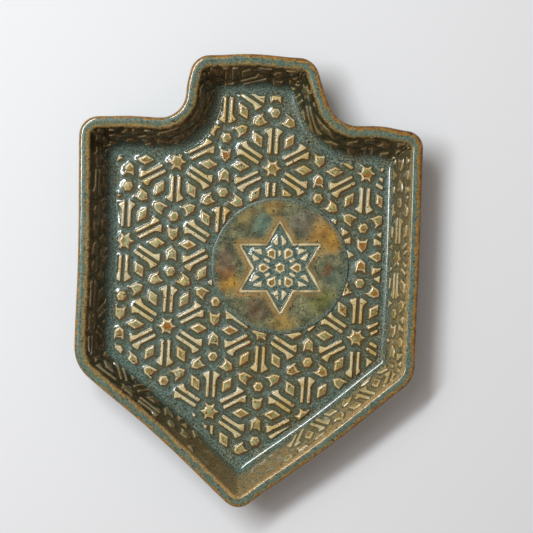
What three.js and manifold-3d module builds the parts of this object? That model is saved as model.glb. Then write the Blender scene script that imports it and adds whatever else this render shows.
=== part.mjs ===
// A slab-built stoneware serving dish with the outline of a spinning top, its stem end at +Y.
//
// One rolled slab is the floor. Seven wall strips stand on its edge, lean outwards and meet in mitred
// corners. A thin coil of clay fills the inside seam, and a disc with a stamped star lies on the floor.
// The slab's upper face and the walls' inner faces carry raised stars, bars, rhombi, shields and
// hexagons on one triangular lattice. Millimetres, +Z up, with the origin on the table under the
// middle of the rim's box.

import * as THREE from "three";
import { mergeVertices } from "three/addons/utils/BufferGeometryUtils.js";
import Module from "manifold-3d";

// Main sizes of the rim's outer edge, seen from above, between the points where straight runs cross.
// The lengths run along Y: the head beyond the shoulders, the sides, and the point beyond the hips.
const headWidth = 61.4;
const neckWidth = 78.2;
const shoulderWidth = 175;
const hipWidth = 173;
const headLength = 34.3;
const neckLength = 32.6;
const sideLength = 126.2;
const pointLength = 71.2;

// The same corners clockwise. radius rounds a corner, bow is how far the run to the next one swells
// outwards, and offX and offY are how far the hand-cut corner lies off the even outline.
const shoulderY = sideLength / 2;
const headY = shoulderY + headLength;
const neckY = headY - neckLength;
const hipY = shoulderY - sideLength;
const corners = {
  headLeft: { x: -headWidth / 2, y: headY, radius: 10.5, bow: 1.1, offX: -1.3, offY: -0.5 },
  headRight: { x: headWidth / 2, y: headY, radius: 11, bow: -0.3, offX: -1.3, offY: 0.5 },
  neckRight: { x: neckWidth / 2, y: neckY, radius: 15, bow: 1, offX: 2.9, offY: 0.3 },
  shoulderRight: { x: shoulderWidth / 2, y: shoulderY, radius: 9, bow: 0.4, offX: -0.6, offY: -0.2 },
  hipRight: { x: hipWidth / 2, y: hipY, radius: 15, bow: 1.2, offX: 1.5, offY: 0.1 },
  tip: { x: 0, y: hipY - pointLength, radius: 9, bow: -1.5, offX: 1.3, offY: 0 },
  hipLeft: { x: -hipWidth / 2, y: hipY, radius: 20, bow: -0.8, offX: 1.5, offY: 0 },
  shoulderLeft: { x: -shoulderWidth / 2, y: shoulderY, radius: 10, bow: 0.4, offX: -0.7, offY: 0.2 },
  neckLeft: { x: -neckWidth / 2, y: neckY, radius: 13, bow: 0.4, offX: 2.9, offY: -0.3 },
};
const insideCornerRadius = 3;

// Slab, walls and the seam between them.
const floorThickness = 6;
const footBevel = 1.5;
const wallHeight = 21;
const wallLeanDegrees = 24;
const rimWidth = 6;
const rimEdgeRadius = 2;
const seamCoilLeg = 4;
const seamCoilHollow = 0.35;
const slipGap = 0.3;

// Raised pattern of the slab. Distances along a motif run outwards from its star or hexagon.
const latticeSide = 49.1;
const latticeTurnDegrees = -0.9;
const latticeStar = { x: 9.5, y: -42.8 };
const reliefHeight = 1.2;
const reliefDraft = 0.35;
const reliefMargin = 0.4;
const smallestFragment = 1.5;
const smallestWallFragment = 20;
const rimMargin = 1.5;
const plainPointLength = 34;
const starTipRadius = 4.9;
const starValleyRadius = 3.1;
const starSideCurve = { share: 0.2, degreesFromTip: 17 };
const hexagonRadius = 2.65;
const barFromStar = 7.5;
const barFromHexagon = 7.5;
const barSpacing = 1.6;
const barWidth = 1.8;
const barFootReach = 2.1;
const barFootLength = 4.9;
const barFootHollow = { lengthShare: 0.7, reachShare: 0.33 };
const barEndSlantDegrees = 30;
const rhombusLength = 9.2;
const rhombusWidth = 5.1;
const shieldFromHexagon = 5.3;
const shieldLength = 7.1;
const shieldWidth = 5.4;
const shieldPoint = 2.2;
const shieldNotch = 1.3;
const shieldTaper = 0.85;

// Applied disc with its stamped star. The star stands a little off the disc's middle.
const disc = { x: 17, y: -8, radius: 35.5, thickness: 2, edgeRadius: 1.2 };
const stamp = { x: 17.3, y: -9.2, turnDegrees: 2.7, tipRadius: 23.3, depth: 1.2 };
const infillHeight = 1;
const infillDraft = 0.25;
const centreStar = { tipRadius: 3, valleyRadius: 2.2 };
const kite = { start: 4.8, waist: 8.6, end: 10.9, waistWidth: 5, endWidth: 3 };
const spoke = { start: 6.1, end: 8.9, width: 1.2 };
const wedge = { near: 11.3, nearSide: 1.2, corner: 13.3, cornerSide: 3.6, far: 17.4, farSide: 0.7 };

// Facets of a corner, of a straight run, of a rim edge, of the coil's hollow and of the disc.
const cornerSteps = 8;
const runSteps = 8;
const rimEdgeSteps = 3;
const coilSteps = 2;
const discSteps = 72;
const discEdgeSteps = 3;

// How far a motif reaches into the clay that it rises from, so that the two join.
const overlap = 0.5;

const wasm = await Module();
wasm.setup();

const cornerNames = Object.keys(corners);
const cornerList = Object.values(corners).map(({ x, y, offX, offY, ...rest }) => {
  return { x: x + offX, y: y + offY, ...rest };
});
const stationsPerCorner = cornerSteps + runSteps;
const lean = THREE.MathUtils.degToRad(wallLeanDegrees);
const rimTop = floorThickness + wallHeight;

function nextIndex(index) {
  return (index + 1) % cornerList.length;
}

function previousIndex(index) {
  return (index + cornerList.length - 1) % cornerList.length;
}

// Direction of the straight run that leaves a corner.
function runDirection(index) {
  const from = cornerList[index];
  const to = cornerList[nextIndex(index)];
  return new THREE.Vector2(to.x - from.x, to.y - from.y).normalize();
}

// The path runs clockwise, so a corner that turns left is one of the two necks.
function turnsLeft(index) {
  return runDirection(previousIndex(index)).cross(runDirection(index)) > 0;
}

// Corner points after every straight run has moved inwards by the same distance.
function insetCorners(inset) {
  return cornerList.map((corner, index) => {
    const before = runDirection(previousIndex(index));
    const after = runDirection(index);
    const inward = new THREE.Vector2(before.y + after.y, -before.x - after.x);
    const shift = inset / (1 + before.dot(after));
    return new THREE.Vector2(corner.x, corner.y).addScaledVector(inward, shift);
  });
}

function cornerArc(before, corner, after, radius, steps) {
  const toBefore = before.clone().sub(corner).normalize();
  const toAfter = after.clone().sub(corner).normalize();
  const halfAngle = toBefore.angleTo(toAfter) / 2;
  const start = corner.clone().addScaledVector(toBefore, radius / Math.tan(halfAngle));
  const middle = toBefore.clone().add(toAfter).normalize();
  const centre = corner.clone().addScaledVector(middle, radius / Math.sin(halfAngle));
  const turn = Math.sign(toAfter.cross(toBefore)) * (Math.PI - 2 * halfAngle);
  const arc = [];
  for (let step = 0; step <= steps; step += 1) {
    arc.push(start.clone().rotateAround(centre, (turn * step) / steps));
  }
  return arc;
}

// Points between two corner arcs, pushed outwards by a smooth bow that fades at both ends.
function bowedRun(from, to, bow) {
  const along = to.clone().sub(from).normalize();
  const outward = new THREE.Vector2(-along.y, along.x);
  const run = [];
  for (let step = 1; step < runSteps; step += 1) {
    const t = step / runSteps;
    const swell = bow * (4 * t * (1 - t)) ** 2;
    run.push(from.clone().lerp(to, t).addScaledVector(outward, swell));
  }
  return run;
}

// The outline at a distance inside the rim's outer edge, with the same stations at every inset.
function outlineAt(inset) {
  const points = insetCorners(inset);
  const arcs = points.map((point, index) => {
    const { radius } = cornerList[index];
    const inner = turnsLeft(index) ? radius + inset : Math.max(radius - inset, insideCornerRadius);
    return cornerArc(points[previousIndex(index)], point, points[nextIndex(index)], inner, cornerSteps);
  });
  return arcs.flatMap((arc, index) => {
    const nextArc = arcs[nextIndex(index)];
    return [...arc, ...bowedRun(arc[cornerSteps], nextArc[0], cornerList[index].bow)];
  });
}

// Triangles that fill a flat outline, all counter-clockwise or all clockwise in its own plane.
function fillOutline(outline, counterClockwise) {
  return THREE.ShapeUtils.triangulateShape(outline, []).map(([a, b, c]) => {
    const side = outline[b].clone().sub(outline[a]);
    const turn = side.cross(outline[c].clone().sub(outline[a]));
    return turn > 0 === counterClockwise ? [a, b, c] : [a, c, b];
  });
}

function meshOf(rings, faces) {
  const geometry = new THREE.BufferGeometry();
  geometry.setFromPoints(rings.flat());
  geometry.setIndex(faces.flat());
  geometry.computeVertexNormals();
  return geometry;
}

// A solid between outlines stacked from the lowest level up, each level an inset and a height.
function stackOutlines(levels) {
  const outlines = levels.map(({ inset }) => outlineAt(inset));
  const size = outlines[0].length;
  const top = (levels.length - 1) * size;
  const rings = outlines.map((outline, level) => {
    return outline.map(({ x, y }) => new THREE.Vector3(x, y, levels[level].z));
  });
  const faces = fillOutline(outlines[0], false);
  faces.push(...fillOutline(outlines.at(-1), true).map((face) => face.map((corner) => corner + top)));
  for (let level = 0; level < top; level += size) {
    for (let station = 0; station < size; station += 1) {
      const low = level + station;
      const lowNext = level + ((station + 1) % size);
      faces.push([low, low + size, lowNext + size], [low, lowNext + size, lowNext]);
    }
  }
  return meshOf(rings, faces);
}

// Rings of a section that follows the outline. A section point's x is its inset, its y its height.
function sectionRings(section, stations) {
  const outlines = section.map((point) => outlineAt(point.x));
  return stations.map((station) => section.map((point, index) => {
    const { x, y } = outlines[index][station];
    return new THREE.Vector3(x, y, point.y);
  }));
}

function sideFaces(ringCount, sectionSize, closed) {
  const faces = [];
  const spans = closed ? ringCount : ringCount - 1;
  for (let span = 0; span < spans; span += 1) {
    const here = span * sectionSize;
    const next = ((span + 1) % ringCount) * sectionSize;
    for (let point = 0; point < sectionSize; point += 1) {
      const after = (point + 1) % sectionSize;
      faces.push([here + point, here + after, next + after], [here + point, next + after, next + point]);
    }
  }
  return faces;
}

// The corner's mitre stands at the middle of its arc, and the run's direction there is square to it.
function mitreStation(name) {
  return cornerNames.indexOf(name) * stationsPerCorner + cornerSteps / 2;
}

function mitreDirection(name) {
  const index = cornerNames.indexOf(name);
  const { x, y } = runDirection(previousIndex(index)).add(runDirection(index)).normalize();
  return new THREE.Vector3(x, y, 0);
}

// One wall strip between two mitres, each end half a slip gap short of its mitre.
function wallStrip(section, from, to) {
  const total = cornerList.length * stationsPerCorner;
  const first = mitreStation(from);
  const length = (mitreStation(to) - first + total) % total;
  const stations = Array.from({ length: length + 1 }, (_, step) => (first + step) % total);
  const rings = sectionRings(section, stations);
  rings[0].forEach((point) => point.addScaledVector(mitreDirection(from), slipGap / 2));
  rings[length].forEach((point) => point.addScaledVector(mitreDirection(to), -slipGap / 2));
  const lastRing = length * section.length;
  const faces = sideFaces(rings.length, section.length, false);
  faces.push(...fillOutline(section, true));
  faces.push(...fillOutline(section, false).map((face) => face.map((corner) => corner + lastRing)));
  return meshOf(rings, faces);
}

function arcPoints(centreX, centreY, radius, from, to, steps) {
  return Array.from({ length: steps + 1 }, (_, step) => {
    const angle = from + ((to - from) * step) / steps;
    return new THREE.Vector2(centreX + radius * Math.cos(angle), centreY + radius * Math.sin(angle));
  });
}

// Where a wall face that leans outwards, and passes through a point, meets the floor.
function footOf(point) {
  return new THREE.Vector2(point.x + (point.y - floorThickness) * Math.tan(lean), floorThickness);
}

// Wall section, from the outer foot up, over the rim and down to the inner foot.
function makeWallSection() {
  const radius = rimEdgeRadius;
  const up = Math.PI / 2;
  const outerEdge = arcPoints(radius, rimTop - radius, radius, Math.PI + lean, up, rimEdgeSteps);
  const innerEdge = arcPoints(rimWidth - radius, rimTop - radius, radius, up, lean, rimEdgeSteps);
  return [footOf(outerEdge[0]), ...outerEdge, ...innerEdge, footOf(innerEdge.at(-1))];
}

const wallSection = makeWallSection();
const outerFoot = wallSection[0];
const innerEdgeTop = wallSection.at(-2);
const innerFoot = wallSection.at(-1);

// Seam coil section: it leaves a slip gap to the wall, lies on the floor, and is hollowed between.
function makeCoilSection() {
  const corner = new THREE.Vector2(innerFoot.x + slipGap / Math.cos(lean), floorThickness);
  const wallEnd = new THREE.Vector2(-Math.sin(lean), Math.cos(lean)).multiplyScalar(seamCoilLeg).add(corner);
  const floorEnd = new THREE.Vector2(corner.x + seamCoilLeg, corner.y);
  const hollow = wallEnd.clone().lerp(floorEnd, 0.5).lerp(corner, seamCoilHollow);
  const curve = new THREE.QuadraticBezierCurve(wallEnd, hollow, floorEnd);
  return [corner, ...curve.getPoints(coilSteps)];
}

function seamCoil() {
  const section = makeCoilSection();
  const stations = Array.from({ length: cornerList.length * stationsPerCorner }, (_, station) => station);
  return meshOf(sectionRings(section, stations), sideFaces(stations.length, section.length, true));
}

// Boolean solids. Only the positions count, and shared vertices are merged.
function toSolid(geometry) {
  const bare = new THREE.BufferGeometry();
  bare.setAttribute("position", geometry.getAttribute("position"));
  bare.setIndex(geometry.getIndex());
  const merged = mergeVertices(bare);
  return new wasm.Manifold(new wasm.Mesh({
    numProp: 3,
    vertProperties: new Float32Array(merged.getAttribute("position").array),
    triVerts: new Uint32Array(merged.getIndex().array),
  }));
}

function toGeometry(solid) {
  const mesh = solid.getMesh();
  const geometry = new THREE.BufferGeometry();
  geometry.setAttribute("position", new THREE.BufferAttribute(new Float32Array(mesh.vertProperties), 3));
  geometry.setIndex(new THREE.BufferAttribute(new Uint32Array(mesh.triVerts), 1));
  geometry.computeVertexNormals();
  return geometry;
}

// A prism with a straight belt at its full outline, tapered by the draft above and below it. The belt
// starts at height 0, so a raised motif is lowered by the overlap and a stamped one isn't.
function taperedPrism(outline, height, draft) {
  return new THREE.ExtrudeGeometry(new THREE.Shape(outline), {
    depth: overlap,
    bevelEnabled: true,
    bevelThickness: height,
    bevelSize: draft,
    bevelOffset: -draft,
    bevelSegments: 1,
  });
}

function polar(radius, degrees) {
  const angle = THREE.MathUtils.degToRad(degrees);
  return new THREE.Vector2(radius * Math.cos(angle), radius * Math.sin(angle));
}

const sixths = [0, 60, 120, 180, 240, 300];
const oddTwelfths = sixths.map((angle) => angle + 30);

// Six tips, the first along +X, with sides that curve in to the valleys.
function starOutline(tipRadius, valleyRadius) {
  const curveRadius = valleyRadius + (tipRadius - valleyRadius) * starSideCurve.share;
  return sixths.flatMap((angle) => [
    polar(tipRadius, angle),
    polar(curveRadius, angle + starSideCurve.degreesFromTip),
    polar(curveRadius, angle + 60 - starSideCurve.degreesFromTip),
  ]);
}

function hexagramOutline(tipRadius) {
  const valleyRadius = tipRadius / Math.sqrt(3);
  return sixths.flatMap((angle) => [polar(tipRadius, angle), polar(valleyRadius, angle + 30)]);
}

function hexagonOutline() {
  return sixths.map((angle) => polar(hexagonRadius, angle));
}

function points(...pairs) {
  return pairs.map(([x, y]) => new THREE.Vector2(x, y));
}

function mirrored(outline) {
  return outline.map(({ x, y }) => new THREE.Vector2(x, -y));
}

const hexagonDistance = latticeSide / Math.sqrt(3);

// One bar of a pair, along +X from its star, with a flared foot at the hexagon's end.
function barOutline() {
  const near = barSpacing / 2;
  const far = near + barWidth;
  const end = hexagonDistance - barFromHexagon;
  const slant = Math.tan(THREE.MathUtils.degToRad(barEndSlantDegrees));
  return points(
    [barFromStar, near],
    [end, near],
    [end - (far + barFootReach - near) * slant, far + barFootReach],
    [end - barFootLength * barFootHollow.lengthShare, far + barFootReach * barFootHollow.reachShare],
    [end - barFootLength, far],
    [barFromStar, far],
  );
}

function rhombusOutline() {
  const long = rhombusLength / 2;
  const wide = rhombusWidth / 2;
  return points([-long, 0], [0, -wide], [long, 0], [0, wide]);
}

// A shield along +X from its hexagon: two ears, a hollow between them, and a blunt point.
function shieldOutline() {
  const start = shieldFromHexagon;
  const end = start + shieldLength;
  const wide = shieldWidth / 2;
  const body = wide * shieldTaper;
  return points(
    [start, -wide],
    [end - shieldPoint, -body],
    [end, 0],
    [end - shieldPoint, body],
    [start, wide],
    [start + shieldNotch, wide / 2],
    [start + shieldNotch, -wide / 2],
  );
}

// Every motif of the lattice that could touch the sheet, each an outline, a place and a turn.
function latticeMotifs() {
  const rim = new THREE.Box2().setFromPoints(outlineAt(-wallHeight));
  const reach = Math.ceil(rim.getSize(new THREE.Vector2()).length() / latticeSide);
  const star = starOutline(starTipRadius, starValleyRadius);
  const hexagon = hexagonOutline();
  const bar = barOutline();
  const bars = [bar, mirrored(bar)];
  const rhombus = rhombusOutline();
  const shield = shieldOutline();
  const motifs = [];
  for (let column = -reach; column <= reach; column += 1) {
    for (let row = -reach; row <= reach; row += 1) {
      const place = polar(latticeSide * column, latticeTurnDegrees);
      place.add(polar(latticeSide * row, latticeTurnDegrees + 60)).add(latticeStar);
      const add = (outline, distance, direction, turn) => {
        const position = polar(distance, latticeTurnDegrees + direction).add(place);
        motifs.push({ outline, position, turn: latticeTurnDegrees + turn });
      };
      add(star, 0, 0, 0);
      oddTwelfths.forEach((angle) => bars.forEach((side) => add(side, 0, 0, angle)));
      [0, 60, 120].forEach((angle) => [1, 2].forEach((third) => {
        add(rhombus, (latticeSide * third) / 3, angle, angle);
      }));
      [30, 90].forEach((angle) => {
        add(hexagon, hexagonDistance, angle, 0);
        [0, 120, 240].forEach((turn) => add(shield, hexagonDistance, angle, angle + turn));
      });
    }
  }
  return motifs.filter(({ position }) => rim.containsPoint(position));
}

function placed(geometry, position, turnDegrees, z) {
  const turned = geometry.rotateZ(THREE.MathUtils.degToRad(turnDegrees));
  return toSolid(turned.translate(position.x, position.y, z));
}

// The whole lattice on a flat sheet, whose surface is at height 0.
const flatLattice = wasm.Manifold.union(latticeMotifs().map(({ outline, position, turn }) => {
  return placed(taperedPrism(outline, reliefHeight, reliefDraft), position, turn, -overlap);
}));

// The slab with its pattern, which stops short of the seam coil and of the disc.
function floorSlab() {
  const slab = toSolid(stackOutlines([
    { inset: outerFoot.x + footBevel, z: 0 },
    { inset: outerFoot.x, z: footBevel },
    { inset: outerFoot.x, z: floorThickness },
  ]));
  const coilEdge = makeCoilSection().at(-1).x + reliefMargin;
  const fieldTop = floorThickness + 2 * reliefHeight;
  const field = toSolid(stackOutlines([
    { inset: coilEdge, z: floorThickness - overlap },
    { inset: coilEdge, z: fieldTop },
  ]));
  const clearRadius = disc.radius + reliefMargin;
  const discSpace = new THREE.CylinderGeometry(clearRadius, clearRadius, 2 * fieldTop, discSteps);
  discSpace.rotateX(Math.PI / 2).translate(disc.x, disc.y, floorThickness);
  const lattice = flatLattice.translate([0, 0, floorThickness]);
  const relief = lattice.intersect(field.subtract(toSolid(discSpace)));
  const smallestVolume = smallestFragment * (overlap + reliefHeight);
  const whole = relief.decompose().filter((piece) => piece.volume() > smallestVolume);
  return toGeometry(wasm.Manifold.union([slab, ...whole]));
}

// The inner face of one straight run, as it lay before the slab's edge was turned up: the flat field
// that the pattern fills there, and a fold that takes a flat point to its real place on the wall.
// The point's walls are smooth beside the tip.
function unfoldedRun(index) {
  const corner = cornerList[index];
  const origin = new THREE.Vector2(corner.x, corner.y);
  const along = runDirection(index);
  const outward = new THREE.Vector2(-along.y, along.x);
  const insetAt = (slant) => innerFoot.x - slant * Math.sin(lean);
  const ends = (inset) => {
    const outline = outlineAt(inset);
    const first = outline[index * stationsPerCorner + cornerSteps];
    const last = outline[nextIndex(index) * stationsPerCorner];
    return [first, last].map((point) => point.clone().sub(origin).dot(along));
  };
  const faceTop = innerEdgeTop.y - floorThickness;
  const low = seamCoilLeg + reliefMargin;
  const high = faceTop / Math.cos(lean) - rimMargin;
  const [lowEnds, highEnds] = [low, high].map((slant) => ends(insetAt(slant)));
  const flat = (distance, slant) => {
    return origin.clone().addScaledVector(along, distance).addScaledVector(outward, slant - innerFoot.x);
  };
  const trimBeside = (name) => (name === "tip" ? plainPointLength : reliefMargin);
  const startTrim = trimBeside(cornerNames[index]);
  const endTrim = trimBeside(cornerNames[nextIndex(index)]);
  const field = [
    flat(lowEnds[0] + startTrim, low),
    flat(lowEnds[1] - endTrim, low),
    flat(highEnds[1] - endTrim, high),
    flat(highEnds[0] + startTrim, high),
  ];
  const [start, end] = ends(insetAt((low + high) / 2));
  const fold = (vertex) => {
    const from = new THREE.Vector2(vertex[0], vertex[1]).sub(origin);
    const distance = from.dot(along);
    const slant = from.dot(outward) + innerFoot.x;
    const t = THREE.MathUtils.clamp((distance - start) / (end - start), 0, 1);
    const swell = corner.bow * (4 * t * (1 - t)) ** 2;
    const inward = insetAt(slant) - swell + vertex[2] * Math.cos(lean);
    const place = origin.clone().addScaledVector(along, distance).addScaledVector(outward, -inward);
    vertex[0] = place.x;
    vertex[1] = place.y;
    vertex[2] = floorThickness + slant * Math.cos(lean) + vertex[2] * Math.sin(lean);
  };
  return { field, fold };
}

// A wall strip with the lattice's larger motifs on its inner face.
function patternedWall(from, to) {
  const strip = toSolid(wallStrip(wallSection, from, to));
  const smallestVolume = smallestWallFragment * (overlap + reliefHeight);
  const pieces = [];
  const depth = overlap + 2 * reliefHeight;
  let index = cornerNames.indexOf(from);
  while (cornerNames[index] !== to) {
    const { field, fold } = unfoldedRun(index);
    const prism = new THREE.ExtrudeGeometry(new THREE.Shape(field), { depth, bevelEnabled: false });
    const relief = flatLattice.intersect(toSolid(prism.translate(0, 0, -overlap)));
    const whole = relief.decompose().filter((piece) => piece.volume() > smallestVolume);
    pieces.push(...whole.map((piece) => piece.warp(fold)));
    index = nextIndex(index);
  }
  return toGeometry(wasm.Manifold.union([strip, ...pieces]));
}

function discProfile() {
  const { radius, thickness, edgeRadius } = disc;
  const quarter = Math.PI / 2;
  const edge = arcPoints(radius - edgeRadius, thickness - edgeRadius, edgeRadius, 0, quarter, discEdgeSteps);
  return [...points([0, 0], [radius, 0]), ...edge, ...points([0, thickness])];
}

function kiteOutline() {
  const { start, waist, end, waistWidth, endWidth } = kite;
  return points(
    [start, 0],
    [waist, -waistWidth / 2],
    [end, -endWidth / 2],
    [end, endWidth / 2],
    [waist, waistWidth / 2],
  );
}

function spokeOutline() {
  const { start, end, width } = spoke;
  const side = width / 2;
  return points([start, -side], [end, -side], [end, side], [start, side]);
}

function wedgeOutline() {
  const { near, nearSide, corner, cornerSide, far, farSide } = wedge;
  return points([near, nearSide], [corner, cornerSide], [far, farSide]);
}

// The disc, its stamped star, and the small motifs that stand in the star.
function starMedallion() {
  const body = new THREE.LatheGeometry(discProfile(), discSteps);
  body.rotateX(Math.PI / 2).translate(disc.x, disc.y, floorThickness);
  const face = floorThickness + disc.thickness;
  const recess = taperedPrism(hexagramOutline(stamp.tipRadius), stamp.depth, infillDraft);
  const turnOf = (angle) => stamp.turnDegrees + angle;
  const infill = (outline, turn) => {
    const prism = taperedPrism(outline, infillHeight, infillDraft);
    return placed(prism, stamp, turnOf(turn), face - stamp.depth - overlap);
  };
  const motifs = [infill(starOutline(centreStar.tipRadius, centreStar.valleyRadius), oddTwelfths[0])];
  oddTwelfths.forEach((tip) => {
    motifs.push(infill(kiteOutline(), tip + 30), infill(spokeOutline(), tip));
    motifs.push(infill(wedgeOutline(), tip), infill(mirrored(wedgeOutline()), tip));
  });
  const plain = toSolid(body);
  const stamped = plain.subtract(placed(recess, stamp, turnOf(oddTwelfths[0]), face));
  return toGeometry(stamped.add(wasm.Manifold.union(motifs).intersect(plain)));
}

const dish = new THREE.Group();

function addPiece(name, geometry, color, roughness) {
  const mesh = new THREE.Mesh(geometry, new THREE.MeshStandardMaterial({ color, roughness, metalness: 0 }));
  mesh.name = name;
  dish.add(mesh);
}

const wallEnds = {
  wall_head_top: ["headLeft", "headRight"],
  wall_neck_right: ["headRight", "shoulderRight"],
  wall_side_right: ["shoulderRight", "hipRight"],
  wall_point_right: ["hipRight", "tip"],
  wall_point_left: ["tip", "hipLeft"],
  wall_side_left: ["hipLeft", "shoulderLeft"],
  wall_neck_left: ["shoulderLeft", "headLeft"],
};

addPiece("floor_slab", floorSlab(), 0x6b7f70, 0.25);
Object.entries(wallEnds).forEach(([name, [from, to]]) => {
  addPiece(name, patternedWall(from, to), 0x5a4a26, 0.25);
});
addPiece("seam_coil", seamCoil(), 0x56695f, 0.22);
addPiece("star_medallion", starMedallion(), 0x7d7654, 0.28);

// The origin stays under the middle of the rim's box, whatever corner moves.
const middle = new THREE.Box3().setFromObject(dish).getCenter(new THREE.Vector3());
dish.position.set(-middle.x, -middle.y, 0);

export default dish;
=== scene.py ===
import math
import random

import bmesh
import bpy
import numpy as np
from mathutils import Matrix, Vector, kdtree, noise
from mathutils.geometry import delaunay_2d_cdt


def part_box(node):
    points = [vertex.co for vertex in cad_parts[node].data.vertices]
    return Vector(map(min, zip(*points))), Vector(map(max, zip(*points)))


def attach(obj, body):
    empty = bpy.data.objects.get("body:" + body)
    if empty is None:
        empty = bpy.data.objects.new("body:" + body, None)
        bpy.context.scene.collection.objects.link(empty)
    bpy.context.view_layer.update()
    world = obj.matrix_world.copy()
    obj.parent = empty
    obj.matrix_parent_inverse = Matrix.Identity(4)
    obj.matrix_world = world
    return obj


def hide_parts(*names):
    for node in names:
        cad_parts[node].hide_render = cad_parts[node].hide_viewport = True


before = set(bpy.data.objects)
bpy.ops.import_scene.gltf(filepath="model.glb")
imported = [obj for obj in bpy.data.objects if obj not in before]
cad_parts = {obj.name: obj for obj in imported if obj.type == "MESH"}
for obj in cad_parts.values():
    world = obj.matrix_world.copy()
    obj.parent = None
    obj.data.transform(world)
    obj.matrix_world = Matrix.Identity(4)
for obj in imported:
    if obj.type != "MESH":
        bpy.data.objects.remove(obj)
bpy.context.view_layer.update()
MM = 0.001

# The view: a camera straight above the dish, a little right of and above its middle, turned so that
# the dish leans 2.7 degrees clockwise. A pale table carries the dish.
VIEW_CENTRE = Vector((10.3, 7.7))
VIEW_TURN = 2.7
VIEW_WIDTH = 269.5
RIM_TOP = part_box("wall_head_top")[1].z / MM
CAMERA_ABOVE_RIM = 900
TABLE_SIZE = 6000


def placed(name, data):
    """A new object in the scene."""
    made = bpy.data.objects.new(name, data)
    bpy.context.scene.collection.objects.link(made)
    return made


camera = placed("camera", bpy.data.cameras.new("camera"))
camera.data.angle = 2 * math.atan(VIEW_WIDTH / 2 / CAMERA_ABOVE_RIM)
camera.location = (VIEW_CENTRE.x * MM, VIEW_CENTRE.y * MM, (RIM_TOP + CAMERA_ABOVE_RIM) * MM)
camera.rotation_euler = (0, 0, math.radians(VIEW_TURN))
bpy.context.scene.camera = camera
bpy.context.scene.view_settings.view_transform = "Standard"


def linear(code):
    """A hex colour as linear red, green, blue and alpha."""
    channels = [int(code[start:start + 2], 16) / 255 for start in (1, 3, 5)]
    return [c / 12.92 if c <= 0.04045 else ((c + 0.055) / 1.055) ** 2.4 for c in channels] + [1.0]


class Shader:
    """A material with short ways to add its nodes. Inputs are numbers, hex colours or links."""

    def __init__(self, name):
        self.material = bpy.data.materials.new(name)
        self.material.use_nodes = True
        self.tree = self.material.node_tree
        self.tree.nodes.clear()

    def add(self, kind, inputs=None, stops=None, **settings):
        """Adds a node with its settings, inputs and colour stops, and gives its outputs."""
        made = self.tree.nodes.new(kind)
        for name, value in settings.items():
            setattr(made, name, value)
        for name, value in (inputs or {}).items():
            if isinstance(value, bpy.types.NodeSocket):
                self.tree.links.new(value, made.inputs[name])
            else:
                made.inputs[name].default_value = linear(value) if isinstance(value, str) else value
        for index, (place, colour) in enumerate(stops or []):
            ramp = made.color_ramp.elements
            stop = ramp[index] if index < 2 else ramp.new(place)
            stop.position = place
            stop.color = linear(colour)
        return made.outputs

    def attribute(self, name):
        """A value that the mesh carries on its points."""
        return self.add("ShaderNodeAttribute", attribute_name=name)["Fac"]

    def noise(self, place, size, detail, output=0):
        """Noise with blotches of a size in millimetres: output 0 is a number, 1 a colour."""
        inputs = {"Vector": place, "Scale": 1 / (size * MM), "Detail": detail}
        return self.add("ShaderNodeTexNoise", inputs)[output]

    def calculate(self, operation, *values):
        """The result of a calculation on numbers."""
        return self.add("ShaderNodeMath", dict(enumerate(values)), operation=operation)[0]

    def vectors(self, operation, *values, output=0):
        """The result of a calculation on vectors: output 0 is a vector, 1 a number."""
        return self.add("ShaderNodeVectorMath", dict(enumerate(values)), operation=operation)[output]

    def spread(self, value, low, high, to_low=0.0, to_high=1.0, curve="LINEAR"):
        """Spreads what lies between two limits over a new range, and holds the rest at its ends."""
        inputs = {"Value": value, "From Min": low, "From Max": high, "To Min": to_low, "To Max": to_high}
        return self.add("ShaderNodeMapRange", inputs, interpolation_type=curve)[0]

    def ramp(self, value, stops):
        """A value's colour between colour stops."""
        return self.add("ShaderNodeValToRGB", {"Fac": value}, stops)[0]

    def mix(self, share, one, other, blend="MIX"):
        """A share of the other colour mixed into one, or multiplied with it."""
        return self.add("ShaderNodeMix", {0: share, 6: one, 7: other}, data_type="RGBA", blend_type=blend)[2]

    def with_surface(self, surface):
        """The material, with its surface."""
        self.add("ShaderNodeOutputMaterial", {"Surface": surface})
        return self.material


# The table is white painted board.
TABLE_COLOUR = "#EAEAED"

board = Shader("white_painted_board")
table_paint = board.with_surface(board.add("ShaderNodeBsdfDiffuse", {"Color": TABLE_COLOUR})[0])

bm = bmesh.new()
bmesh.ops.create_grid(bm, x_segments=1, y_segments=1, size=TABLE_SIZE / 2 * MM)
table_mesh = bpy.data.meshes.new("table")
bm.to_mesh(table_mesh)
bm.free()
table_mesh.materials.append(table_paint)
table = placed("table", table_mesh)

# The light: a long bright window up and to the left, a pale curtain behind it, and a dim room.
ROOM_COLOUR = "#FFF1E6"
ROOM_STRENGTH = 0.28
LAMPS = {
    "window": {"place": (-495, 330, 1000), "size": (720, 118), "watts": 8.9, "colour": "#F8FDFF"},
    "curtain": {"place": (-540, 330, 1085), "size": (1080, 750), "watts": 4.1, "colour": "#F6FDFE"},
}

for name, lamp in LAMPS.items():
    light = bpy.data.lights.new(name, "AREA")
    light.shape = "RECTANGLE"
    light.size, light.size_y = (side * MM for side in lamp["size"])
    light.energy = lamp["watts"]
    light.color = linear(lamp["colour"])[:3]
    holder = placed(name, light)
    holder.location = Vector(lamp["place"]) * MM
    holder.rotation_euler = holder.location.to_track_quat("Z", "Y").to_euler()

world = bpy.data.worlds.new("pale_room")
bpy.context.scene.world = world
world.use_nodes = True
world.node_tree.nodes["Background"].inputs["Color"].default_value = linear(ROOM_COLOUR)
world.node_tree.nodes["Background"].inputs["Strength"].default_value = ROOM_STRENGTH

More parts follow.
